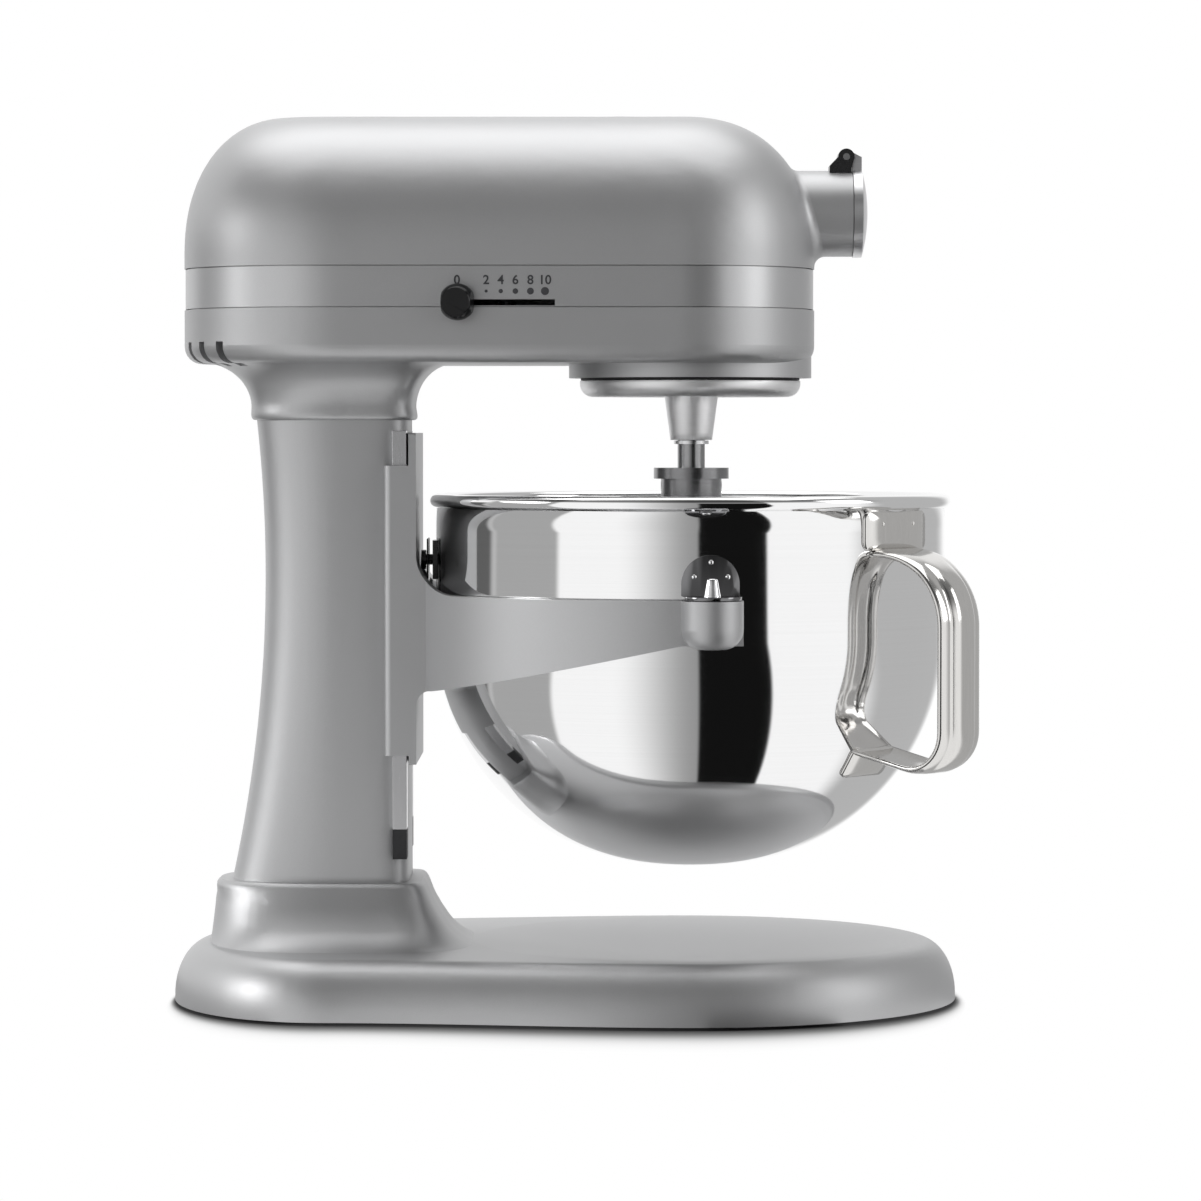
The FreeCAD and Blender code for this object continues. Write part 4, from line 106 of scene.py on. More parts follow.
class MixerColours(bpy.types.PropertyGroup):
    """Colours of the mixer's finishes."""
    enamel: bpy.props.FloatVectorProperty(
        name="Enamel", description="Silver enamel of the casting",
        subtype="COLOR", size=3, default=(0.50, 0.502, 0.508))
    bright: bpy.props.FloatVectorProperty(
        name="Bright trim", description="Hub cap and bright pins",
        subtype="COLOR", size=3, default=(0.74, 0.74, 0.75))
    steel: bpy.props.FloatVectorProperty(
        name="Bowl steel", description="Polished stainless steel of the bowl",
        subtype="COLOR", size=3, default=(0.91, 0.91, 0.912))
    handle: bpy.props.FloatVectorProperty(
        name="Handle steel", description="Strap handle of the bowl",
        subtype="COLOR", size=3, default=(0.74, 0.728, 0.71))
    bracket: bpy.props.FloatVectorProperty(
        name="Bracket steel", description="Dark polished brackets on the bowl's sides",
        subtype="COLOR", size=3, default=(0.20, 0.20, 0.205))
    black: bpy.props.FloatVectorProperty(
        name="Black parts", description="Knobs, latch and rubber",
        subtype="COLOR", size=3, default=(0.012, 0.012, 0.013))
    print_ink: bpy.props.FloatVectorProperty(
        name="Scale print", description="Numbers and dots of the speed scale",
        subtype="COLOR", size=3, default=(0.05, 0.05, 0.055))


class MixerSizes(bpy.types.PropertyGroup):
    """Sizes of the pieces made here."""
    bowl_wall: bpy.props.FloatProperty(
        name="Bowl wall", description="Thickness of the bowl's sheet", unit="LENGTH", default=0.0012)
    bowl_radius: bpy.props.FloatProperty(
        name="Bowl radius", description="Outside radius of the bowl's wall", unit="LENGTH", default=0.1186)
    bowl_corner: bpy.props.FloatProperty(
        name="Bowl curve", description="Radius of the curve from wall to floor", unit="LENGTH", default=0.108)
    bead: bpy.props.FloatProperty(
        name="Rim bead", description="Radius of the rolled rim", unit="LENGTH", default=0.0033)
    strap_width: bpy.props.FloatProperty(
        name="Strap width", description="Width of the handle's strap", unit="LENGTH", default=0.030)
    strap_sheet: bpy.props.FloatProperty(
        name="Strap sheet", description="Thickness of the handle's sheet", unit="LENGTH", default=0.002)
    strap_reach: bpy.props.FloatProperty(
        name="Strap reach", description="From the bowl's axis to the strap", unit="LENGTH", default=0.154)
    strap_rib: bpy.props.FloatProperty(
        name="Strap rib", description="Height of the rib along the strap", unit="LENGTH", default=0.0026)
    strap_turn: bpy.props.FloatProperty(
        name="Handle bearing", description="Angle of the handle round the bowl",
        subtype="ANGLE", default=math.radians(-39))
    digit: bpy.props.FloatProperty(
        name="Number height", description="Height of the speed numbers", unit="LENGTH", default=0.0040)
    weld: bpy.props.FloatProperty(
        name="Weld mark", description="Radius of a spot weld's dimple", unit="LENGTH", default=0.0019)
    round_turns: bpy.props.IntProperty(
        name="Turning steps", description="Sides round the bowl", default=192, min=24)


class Signal:
    """A socket's value in a shader, for arithmetic."""

    def __init__(self, tree, socket):
        self.tree = tree
        self.socket = socket

    def math(self, operation, first, second=None, third=None):
        values = [value for value in (first, second, third) if value is not None]
        made = self.tree.add("ShaderNodeMath", {"operation": operation}, dict(enumerate(values)))
        return made.out(0)

    def __add__(self, other):
        return self.math("ADD", self, other)

    def __radd__(self, other):
        return self.math("ADD", other, self)

    def __sub__(self, other):
        return self.math("SUBTRACT", self, other)

    def __rsub__(self, other):
        return self.math("SUBTRACT", other, self)

    def __mul__(self, other):
        return self.math("MULTIPLY", self, other)

    def __rmul__(self, other):
        return self.math("MULTIPLY", other, self)

    def __truediv__(self, other):
        return self.math("DIVIDE", self, other)

    def __rtruediv__(self, other):
        return self.math("DIVIDE", other, self)

    def larger(self, other):
        return self.math("MAXIMUM", self, other)

    def root(self):
        return self.math("SQRT", self)

    def bearing(self, other):
        return self.math("ARCTAN2", self, other)

    def rise(self, low, high):
        """0 below low, 1 above high, smooth between."""
        made = self.tree.add("ShaderNodeMapRange", {"interpolation_type": "SMOOTHSTEP"},
                             {"Value": self, "From Min": low, "From Max": high})
        return made.out("Result")

    def within(self, zone):
        """A zone's share inside it, with soft edges, and 0 outside."""
        return self.rise(zone[0], zone[1]) * (1 - self.rise(zone[2], zone[3])) * zone[4]


class Made:
    """A node just added."""

    def __init__(self, tree, node):
        self.tree = tree
        self.node = node

    def out(self, key):
        return Signal(self.tree, self.node.outputs[key])


class Shading:
    """The node tree of a material or of the world."""

    def __init__(self, owner):
        owner.use_nodes = True
        self.links = owner.node_tree.links
        self.nodes = owner.node_tree.nodes
        self.nodes.clear()

    def add(self, kind, settings=None, sockets=None):
        """One node: its settings first, then the values or links of its sockets."""
        node = self.nodes.new(kind)
        for key, value in (settings or {}).items():
            setattr(node, key, value)
        for key, value in (sockets or {}).items():
            if isinstance(value, Signal):
                self.links.new(value.socket, node.inputs[key])
            else:
                node.inputs[key].default_value = value
        return Made(self, node)

    def place(self):
        """Object coordinates."""
        return self.add("ShaderNodeTexCoord").out("Object")

    def split(self, vector):
        made = self.add("ShaderNodeSeparateXYZ", None, {0: vector})
        return made.out("X"), made.out("Y"), made.out("Z")

    def joined(self, x, y, z):
        return self.add("ShaderNodeCombineXYZ", None, {"X": x, "Y": y, "Z": z}).out(0)

    def stretched(self, vector, scale):
        made = self.add("ShaderNodeVectorMath", {"operation": "MULTIPLY"}, {0: vector, 1: scale})
        return made.out(0)

    def noise(self, vector, scale, detail=3.0):
        made = self.add("ShaderNodeTexNoise", None, {"Vector": vector, "Scale": scale, "Detail": detail})
        return made.out(0)

    def blend(self, share, one, other):
        made = self.add("ShaderNodeMix", {"data_type": "RGBA"}, {0: share, 6: one, 7: other})
        return made.out(2)

    def bump(self, height, distance, strength=0.5):
        made = self.add("ShaderNodeBump", None,
                        {"Height": height, "Distance": distance, "Strength": strength})
        return made.out(0)


def shade(colour, factor):
    """A colour made lighter or darker, with its alpha."""
    return tuple(min(1.0, part * factor) for part in colour) + (1.0,)


def surface(tree, sockets):
    """The shader and the output of a material."""
    shader = tree.add("ShaderNodeBsdfPrincipled", None, sockets)
    tree.add("ShaderNodeOutputMaterial", None, {"Surface": shader.out(0)})


def enamel_finish(name, colour, rough):
    """Satin metallic enamel: fine flake, faint orange peel and slow changes of gloss."""
    material = bpy.data.materials.new(name)
    tree = Shading(material)
    place = tree.place()
    flake = tree.noise(place, 2400.0, 2.0)
    cloud = tree.noise(place, 16.0, 3.0)
    peel = tree.noise(place, 420.0, 2.0)
    tone = (flake - 0.5) * 0.9 + 0.5 + (cloud - 0.5) * 0.25
    tint = tree.blend(tone, shade(colour, 0.92), shade(colour, 1.08))
    gloss = rough + (flake - 0.5) * 0.10 + (cloud - 0.5) * 0.05
    relief = tree.bump(peel + flake * 0.4, 0.00006, 0.3)
    surface(tree, {"Base Color": tint, "Metallic": 0.85, "Roughness": gloss, "Normal": relief,
                   "Coat Weight": 0.06, "Coat Roughness": 0.3})
    return material


def grained_finish(name, colour, grain, rough, spread, depth):
    """Metal with a directional grain; grain is the noise scale along X, Y and Z."""
    material = bpy.data.materials.new(name)
    tree = Shading(material)
    place = tree.place()
    lines = tree.noise(tree.stretched(place, grain), 1.0, 4.0)
    smear = tree.noise(place, 22.0, 3.0)
    tone = (lines - 0.5) * 0.8 + 0.5 + (smear - 0.5) * 0.3
    tint = tree.blend(tone, shade(colour, 0.92), shade(colour, 1.07))
    gloss = rough + (lines - 0.5) * spread + (smear - 0.5) * spread * 0.5
    relief = tree.bump(lines, depth, 0.3)
    surface(tree, {"Base Color": tint, "Metallic": 1.0, "Roughness": gloss, "Normal": relief})
    return material


def spun_finish(name, colour, rough, spread, depth):
    """Metal spun or polished round Z through the object's origin."""
    material = bpy.data.materials.new(name)
    tree = Shading(material)
    x, y, z = tree.split(tree.place())
    reach = (x * x + y * y).root()
    rings = tree.noise(tree.joined(reach * 1700.0, 0.0, z * 1700.0), 1.0, 2.0)
    smear = tree.noise(tree.place(), 14.0, 3.0)
    tone = (rings - 0.5) * 0.6 + 0.5 + (smear - 0.5) * 0.4
    tint = tree.blend(tone, shade(colour, 0.95), shade(colour, 1.04))
    gloss = rough + (rings - 0.5) * spread + (smear - 0.5) * spread
    surface(tree, {"Base Color": tint, "Metallic": 1.0, "Roughness": gloss,
                   "Normal": tree.bump(rings, depth, 0.2)})
    return material


def moulded_finish(name, colour, rough, grain, depth, coat=0.0, shine=0.5):
    """Black plastic or rubber with a fine moulded grain."""
    material = bpy.data.materials.new(name)
    tree = Shading(material)
    place = tree.place()
    pores = tree.noise(place, grain, 3.0)
    dust = tree.noise(place, 60.0, 4.0)
    tint = tree.blend(dust.rise(0.45, 0.85) * 0.6, shade(colour, 1.0), shade(colour, 2.2))
    gloss = rough + (pores - 0.5) * 0.14 + (dust - 0.5) * 0.10
    surface(tree, {"Base Color": tint, "Roughness": gloss, "Normal": tree.bump(pores, depth, 0.4),
                   "Coat Weight": coat, "Coat Roughness": 0.2, "Specular IOR Level": shine})
    return material


def dress(names, material):
    """Put a finish on CAD nodes."""
    for name in names:
        slots = NODES[name].data.materials
        slots.clear()
        slots.append(material)


def ease_edges(names, width):
    """Small rounds on the sharp edges of CAD nodes."""
    for name in names:
        weld = NODES[name].modifiers.new("close", "WELD")
        weld.merge_threshold = 1e-5
        round_off = NODES[name].modifiers.new("edge", "BEVEL")
        round_off.width = width
        round_off.segments = 2
        round_off.limit_method = "ANGLE"
        round_off.angle_limit = math.radians(40)
        round_off.harden_normals = True


def add_mesh(name, mesh_data, body, material):
    """A new piece that rides on a body."""
    mesh = bpy.data.meshes.new(name)
    mesh_data.to_mesh(mesh)
    mesh_data.free()
    for face in mesh.polygons:
        face.use_smooth = True
    mesh.materials.append(material)
    piece = bpy.data.objects.new(name, mesh)
    bpy.context.scene.collection.objects.link(piece)
    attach(piece, body)
    return piece


def lathe(profile, turns):
    """A closed mesh from an open profile of (radius, height) that starts and ends on the axis."""
    shape = bmesh.new()
    rings = []
    for radius, height in profile:
        if radius < 1e-7:
            rings.append([shape.verts.new((0, 0, height))])
        else:
            ring = []
            for step in range(turns):
                angle = 2 * math.pi * step / turns
                ring.append(shape.verts.new((radius * math.cos(angle), radius * math.sin(angle), height)))
            rings.append(ring)
    for low, high in zip(rings, rings[1:]):
        for step in range(turns):
            after = (step + 1) % turns
            corners = [low[step % len(low)], low[after % len(low)],
                       high[after % len(high)], high[step % len(high)]]
            shape.faces.new(list(dict.fromkeys(corners)))
    bmesh.ops.recalc_face_normals(shape, faces=shape.faces)
    return shape


def dome(middle, out, radius, height):
    """A low round dimple on a surface, facing out."""
    shape = bmesh.new()
    bmesh.ops.create_uvsphere(shape, u_segments=20, v_segments=12, radius=radius)
    bmesh.ops.scale(shape, vec=(1, 1, height / radius), verts=shape.verts)
    turn = Vector((0, 0, 1)).rotation_difference(Vector(out)).to_matrix().to_4x4()
    bmesh.ops.transform(shape, matrix=Matrix.Translation(Vector(middle)) @ turn, verts=shape.verts)
    return shape


def merged(shapes):
    """Several meshes as one."""
    whole = bmesh.new()
    for shape in shapes:
        mesh = bpy.data.meshes.new("part")
        shape.to_mesh(mesh)
        shape.free()
        whole.from_mesh(mesh)
        bpy.data.meshes.remove(mesh)
    return whole


def rounded_path(corners, radii, step):
    """Points along a path in a plane, with its corners rounded."""
    points = [corners[0]]
    for before, corner, after, radius in zip(corners, corners[1:], corners[2:], radii):
        back = (before - corner).normalized()
        ahead = (after - corner).normalized()
        turn = math.pi - back.angle(ahead)
        reach = radius * math.tan(turn / 2)
        centre = corner + (back + ahead).normalized() * (radius / math.cos(turn / 2))
        start = corner + back * reach - centre
        swing = math.copysign(turn, back.x * ahead.y - back.y * ahead.x) * -1
        count = max(4, int(radius * turn / step))
        points += [centre + Matrix.Rotation(swing * index / count, 2) @ start for index in range(count + 1)]
    return spaced(points + [corners[-1]], step)


def spaced(points, step):
    """The same path with its long straights split."""
    path = [points[0]]
    for one, other in zip(points, points[1:]):
        count = max(1, round((other - one).length / step))
        path += [one.lerp(other, index / count) for index in range(1, count + 1)]
    return path


def skinned(rings):
    """A closed mesh through equal rings of points, capped at both ends."""
    shape = bmesh.new()
    loops = [[shape.verts.new(point) for point in ring] for ring in rings]
    for low, high in zip(loops, loops[1:]):
        for index in range(len(low)):
            after = (index + 1) % len(low)
            shape.faces.new((low[index], low[after], high[after], high[index]))
    shape.faces.new(loops[0])
    shape.faces.new(loops[-1])
    bmesh.ops.recalc_face_normals(shape, faces=shape.faces)
    return shape


class MIXER_OT_casing(bpy.types.Operator):
    """Silver enamel on the base, column, head and bowl carriage"""
    bl_idname = "mixer.casing"
    bl_label = "Enamelled castings"

    def execute(self, context):
        colour = context.scene.mixer_colours.enamel
        dress(("base", "column", "lower_housing", "top_cover", "bowl_support"),
              enamel_finish("silver_enamel", colour, 0.46))
        dress(("trim_band",), enamel_finish("band_enamel", shade(colour, 1.06)[:3], 0.36))
        return {"FINISHED"}


class MIXER_OT_metalwork(bpy.types.Operator):
    """Guide bars, pins, shafts, screws, the hub cap and the hook"""
    bl_idname = "mixer.metalwork"
    bl_label = "Plated metalwork"

    def execute(self, context):
        bright = context.scene.mixer_colours.bright
        dress(("locating_pins", "hub_hinge_pin"),
              grained_finish("bright_plate", bright, (60.0, 900.0, 900.0), 0.12, 0.06, 0.00001))
        dress(("hub_cover",),
              grained_finish("satin_plate", bright, (60.0, 900.0, 900.0), 0.36, 0.08, 0.00001))
        plated = grained_finish("plated_steel", (0.66, 0.66, 0.67), (1500.0, 1500.0, 90.0), 0.24, 0.14,
                                0.00002)
        dress(("column_ways", "latch_screws", "column_screws", "neck_screws", "shaft_washer", "speed_lever",
               "speed_pivot", "speed_link", "lift_shaft", "lift_handle"), plated)
        turned = grained_finish("turned_steel", (0.30, 0.30, 0.305), (120.0, 120.0, 2600.0), 0.22, 0.12,
                                0.00002)
        dress(("beater_shaft", "beater_pin"), turned)
        cast = grained_finish("cast_aluminium", (0.86, 0.86, 0.865), (120.0, 120.0, 1900.0), 0.44, 0.14,
                              0.00003)
        dress(("planetary_carrier",), cast)
        burnished = grained_finish("burnished_aluminium", (0.24, 0.24, 0.245), (90.0, 90.0, 700.0), 0.22,
                                   0.08, 0.00001)
        dress(("dough_hook",), burnished)
        ease_edges(("lift_handle", "locating_pins", "planetary_carrier", "column_ways"), 0.0004)
        return {"FINISHED"}


class MIXER_OT_drive(bpy.types.Operator):
    """Motor and gears inside the head"""
    bl_idname = "mixer.drive"
    bl_label = "Motor and gears"

    def execute(self, context):
        cut = grained_finish("cut_steel", (0.46, 0.46, 0.47), (400.0, 400.0, 2600.0), 0.30, 0.16, 0.00003)
        dress(("ring_gear", "centre_gear", "bevel_gear", "hub_bevel_pinion", "beater_pinion", "wheel_shaft",
               "worm", "hub_shaft", "planetary_shaft", "motor_shaft"), cut)
        layers = grained_finish("stacked_laminations", (0.40, 0.40, 0.42), (3200.0, 40.0, 40.0), 0.42, 0.16,
                                0.00008)
        dress(("motor_stator", "motor_rotor"), layers)
        bronze = grained_finish("bearing_bronze", (0.58, 0.40, 0.20), (900.0, 900.0, 900.0), 0.32, 0.16,
                                0.00003)
        dress(("hub_bush", "shaft_bushes", "lift_bush", "worm_wheel", "motor_bearings"), bronze)
        copper = grained_finish("copper_wire", (0.66, 0.34, 0.17), (2400.0, 2400.0, 2400.0), 0.34, 0.2,
                                0.0001)
        dress(("motor_windings", "commutator"), copper)
        inner = grained_finish("bracket_aluminium", (0.58, 0.58, 0.59), (500.0, 500.0, 500.0), 0.40, 0.16,
                               0.00005)
        dress(("gear_bracket", "motor_front_bracket", "motor_rear_bracket"), inner)
        return {"FINISHED"}


class MIXER_OT_black_parts(bpy.types.Operator):
    """Knobs, grip, latch, gland, stops and feet"""
    bl_idname = "mixer.black_parts"
    bl_label = "Black parts"

    def execute(self, context):
        black = context.scene.mixer_colours.black
        plastic = moulded_finish("black_plastic", black, 0.28, 1800.0, 0.00003, 0.35)
        knob = moulded_finish("knob_plastic", shade(black, 0.5)[:3], 0.16, 1800.0, 0.00001, 0.0, 0.22)
        dress(("speed_knob", "lift_grip"), knob)
        dress(("hub_knob", "motor_fan", "brush_holders", "speed_board",
               "hub_hinge_bracket", "latch_spring", "bowl_rear_bracket"), plastic)
        rubber = moulded_finish("black_rubber", shade(black, 1.6)[:3], 0.62, 900.0, 0.0001)
        dress(("base_feet", "way_stops", "cord_gland"), rubber)
        ease_edges(("hub_knob", "speed_knob", "latch_spring"), 0.0005)
        add_mesh("dust_lip", self.dust_lip(), "stand", rubber)
        return {"FINISHED"}

    @staticmethod
    def dust_lip():
        """Thin ring between the nose and the turning disc under it."""
        low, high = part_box("planetary_carrier")
        outer = (high[0] - low[0]) / 2 - LIP_INSET
        inner = outer - LIP_WALL
        bottom = high[2] + LIP_CLEARANCE
        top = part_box("ring_gear")[0][2] - LIP_WALL
        shape = bmesh.new()
        section = ((inner, bottom), (outer, bottom), (outer, top), (inner, top))
        rings = []
        for step in range(LIP_TURNS):
            angle = 2 * math.pi * step / LIP_TURNS
            rings.append([shape.verts.new((MIX_X + reach * math.cos(angle), reach * math.sin(angle), height))
                          for reach, height in section])
        for one, other in zip(rings, rings[1:] + rings[:1]):
            for index in range(4):
                after = (index + 1) % 4
                shape.faces.new((one[index], one[after], other[after], other[index]))
        bmesh.ops.recalc_face_normals(shape, faces=shape.faces)
        return shape


class MIXER_OT_bowl(bpy.types.Operator):
    """Spun steel bowl with its rolled rim, brackets and weld marks"""
    bl_idname = "mixer.bowl"
    bl_label = "Bowl"

    def execute(self, context):
        sizes = context.scene.mixer_sizes
        colours = context.scene.mixer_colours
        steel = spun_finish("polished_steel", colours.steel, 0.06, 0.04, 0.000004)
        shell = lathe(self.profile(sizes), sizes.round_turns)
        bowl = add_mesh("bowl_shell", shell, "bowl_body", steel)
        bowl.location = (MIX_X, 0, 0)
        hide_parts("bowl")
        dark = grained_finish("bracket_steel", colours.bracket, (900.0, 900.0, 60.0), 0.12, 0.06, 0.00001)
        dress(("bowl_side_brackets",), dark)
        ease_edges(("bowl_side_brackets",), 0.0004)
        self.weld_marks(sizes, steel)
        return {"FINISHED"}

    @staticmethod
    def profile(sizes):
        """Outside from the floor's middle to the rim, then the inside back down."""
        floor = BOWL_LOW.z
        bead_z = BOWL_HIGH.z - sizes.bead
        bend_r = sizes.bowl_radius - sizes.bowl_corner
        bend_z = floor + sizes.bowl_corner - 0.0004

        def side(wall):
            radius = sizes.bowl_corner - wall
            base = floor + wall
            flat = bend_r + math.sqrt(radius ** 2 - (bend_z - base) ** 2)
            start = math.atan2(base - bend_z, flat - bend_r)
            points = [(0.0, base), (flat * 0.5, base)]
            for step in range(73):
                angle = start * (1 - step / 72)
                points.append((bend_r + radius * math.cos(angle), bend_z + radius * math.sin(angle)))
            top = bead_z - sizes.bead if wall == 0 else bead_z
            points += [(sizes.bowl_radius - wall, bend_z + (top - bend_z) * step / 6) for step in range(1, 6)]
            return points

        middle = sizes.bowl_radius - sizes.bowl_wall / 2
        lean = math.radians(-80)
        sweep = math.radians(340)
        bead = [(middle + sizes.bead * math.cos(lean + sweep * step / 28),
                 bead_z + sizes.bead * math.sin(lean + sweep * step / 28)) for step in range(29)]
        return side(0) + bead + list(reversed(side(sizes.bowl_wall)))

    @staticmethod
    def weld_marks(sizes, material):
        """Spot welds on the side brackets."""
        low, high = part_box("bowl_side_brackets")
        reach = sizes.bowl_radius + BRACKET_REACH
        marks = []
        bracket_x = (low[0] + high[0]) / 2 - MIX_X
        for side in (-1, 1):
            for across, up in BRACKET_WELDS:
                turn = math.asin((bracket_x + across) / reach)
                out = Vector((math.sin(turn), side * math.cos(turn), 0))
                spot = Vector((MIX_X, 0, low[2] + up)) + out * reach
                marks.append(dome(spot, out, 0.6 * sizes.weld, WELD_HEIGHT))
        add_mesh("weld_marks", merged(marks), "bowl_body", material)


class MIXER_OT_handle(bpy.types.Operator):
    """Strap handle pressed from sheet, with its rib, welded tabs and weld marks"""
    bl_idname = "mixer.handle"
    bl_label = "Handle"

    def execute(self, context):
        sizes = context.scene.mixer_sizes
        colour = context.scene.mixer_colours.handle
        steel = grained_finish("handle_steel", colour, (900.0, 900.0, 60.0), 0.13, 0.08, 0.00001)
        pieces = [self.strap(sizes), self.tab(sizes), self.foot(sizes)] + self.dots(sizes)
        handle = add_mesh("strap_handle", merged(pieces), "bowl_body", steel)
        handle.location = (MIX_X, 0, 0)
        handle.rotation_euler = (0, 0, sizes.strap_turn)
        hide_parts("bowl_handle")
        return {"FINISHED"}

    @staticmethod
    def levels():
        """Heights of the strap's top and bottom runs, and of the tab's upper edge."""
        low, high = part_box("bowl_handle")
        return high[2] - TAB_HEIGHT, low[2] + STRAP_LIFT, high[2]

    def strap(self, sizes):
        top, bottom, _ = self.levels()
        corners = [Vector((sizes.bowl_radius - STRAP_TOP_IN, top)), Vector((sizes.strap_reach, top)),
                   Vector((sizes.strap_reach, bottom)),
                   Vector((sizes.bowl_radius - STRAP_FOOT_IN, bottom + STRAP_FOOT_UP))]
        path = rounded_path(corners, STRAP_BENDS, STRAP_STEP)
        length = sum((b - a).length for a, b in zip(path, path[1:]))
        rings = []
        gone = 0.0
        for index, point in enumerate(path):
            before = path[max(index - 1, 0)]
            after = path[min(index + 1, len(path) - 1)]
            gone += (point - before).length
            along = (after - before).normalized()
            out = Vector((-along.y, along.x))
            rings.append(self.section(sizes, point, out, gone / length))
        return skinned(rings)

    @staticmethod
    def section(sizes, point, out, share):
        """Ring round the sheet: the outside, one edge, the inside and the other edge."""
        half = sizes.strap_width / 2 + 0.004 * max(0.0, 1 - share / 0.16)
        rise = min(1.0, max(0.0, (share - 0.10) / 0.14)) * min(1.0, max(0.0, (0.80 - share) / 0.16))
        height = sizes.strap_rib * rise * rise * (3 - 2 * rise)
        outside = []
        inside = []
        for step in range(33):
            across = -1 + step / 16
            bead = max(0.0, 1 - (abs(across) / 0.60) ** 4)
            lift = height * bead - 0.0016 * abs(across) ** 5
            outside.append((across * half, lift + sizes.strap_sheet / 2))
            inside.append((across * half, lift - sizes.strap_sheet / 2))
        edge = half + 0.3 * sizes.strap_sheet
        ring = outside + [(edge, -0.0016)] + inside[::-1] + [(-edge, -0.0016)]
        return [(point.x + out.x * lift, across, point.y + out.y * lift) for across, lift in ring]

    @staticmethod
    def plate(outline, bend, sheet):
        """A bent plate from an outline of (across, up): bend gives the point at a lift."""
        rings = []
        for shrink, lift in ((1.0, 0.0), (1.0, 0.7), (0.965, 1.0), (0.6, 1.0), (0.2, 1.0), (0.02, 1.0)):
            rings.append([bend(across * shrink, up * shrink, lift * sheet) for across, up in outline])
        return skinned(rings)

    @staticmethod
    def rounded(half_width, half_height, corner):
        """Outline of a plate with round corners."""
        outline = []
        for start, side, up in ((0, 1, 1), (90, -1, 1), (180, -1, -1), (270, 1, -1)):
            for step in range(7):
                angle = math.radians(start + 15 * step)
                outline.append((side * (half_width - corner) + corner * math.cos(angle),
                                up * (half_height - corner) + corner * math.sin(angle)))
        return outline

    def tab(self, sizes):
        """Tab on the wall under the rim."""
        top, _, upper = self.levels()
        middle = (top + upper) / 2

        def bend(across, up, lift):
            turn = across / sizes.bowl_radius
            reach = sizes.bowl_radius + lift - 0.0003
            return reach * math.cos(turn), reach * math.sin(turn), middle + up

        return self.plate(self.rounded(0.0235, (upper - top) / 2, 0.004), bend, sizes.strap_sheet * 0.9)

    def foot(self, sizes):
        """Tab under the strap's lower end, on the bowl's curve."""
        bottom = self.levels()[1]
        bend_r = sizes.bowl_radius - sizes.bowl_corner
        bend_z = BOWL_LOW.z + sizes.bowl_corner - 0.0004
        slope = math.asin((bottom + 0.0075 - bend_z) / sizes.bowl_corner)

        def bend(across, up, lift):
            angle = slope + up / sizes.bowl_corner
            radius = sizes.bowl_corner + lift - 0.0003
            reach = bend_r + radius * math.cos(angle)
            turn = across / reach
            return reach * math.cos(turn), reach * math.sin(turn), bend_z + radius * math.sin(angle)

        return self.plate(self.rounded(sizes.strap_width / 2 + 0.001, 0.0075, 0.003), bend, 0.0018)

    def dots(self, sizes):
        """Weld marks on the upper tab."""
        top, _, upper = self.levels()
        marks = []
        for across in (-0.0115, 0.0115):
            turn = across / sizes.bowl_radius
            out = Vector((math.cos(turn), math.sin(turn), 0))
            spot = out * (sizes.bowl_radius + 0.0014) + Vector((0, 0, (top + upper) / 2 + 0.003))
            marks.append(dome(spot, out, 0.55 * sizes.weld, WELD_HEIGHT))
        return marks


class MIXER_OT_speed_scale(bpy.types.Operator):
    """Numbers and growing dots of the speed scale on the band"""
    bl_idname = "mixer.speed_scale"
    bl_label = "Speed scale"

    def execute(self, context):
        sizes = context.scene.mixer_sizes
        ink = moulded_finish("scale_ink", context.scene.mixer_colours.print_ink, 0.45, 2500.0, 0.00001)
        face_y = BAND_LOW.y
        dots = []
        for number, spot in SCALE_SPOTS.items():
            text = bpy.data.curves.new("speed_" + str(number), "FONT")
            text.body = str(number)
            text.size = sizes.digit / CAP_HEIGHT
            text.align_x = "CENTER"
            text.extrude = PRINT_DEPTH
            text.offset = 0.00012
            text.materials.append(ink)
            digit = bpy.data.objects.new("speed_" + str(number), text)
            digit.location = (MIX_X + spot, face_y - PRINT_DEPTH / 2, BAND_LOW.z + NUMBER_LIFT)
            digit.rotation_euler = (math.radians(90), 0, 0)
            context.scene.collection.objects.link(digit)
            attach(digit, "stand")
            if number:
                place = (MIX_X + spot, face_y, BAND_LOW.z + DOT_LIFT)
                dots.append(dome(place, (0, -1, 0), 0.00042 + 0.000143 * number, PRINT_DEPTH))
        add_mesh("speed_dots", merged(dots), "stand", ink)
        return {"FINISHED"}


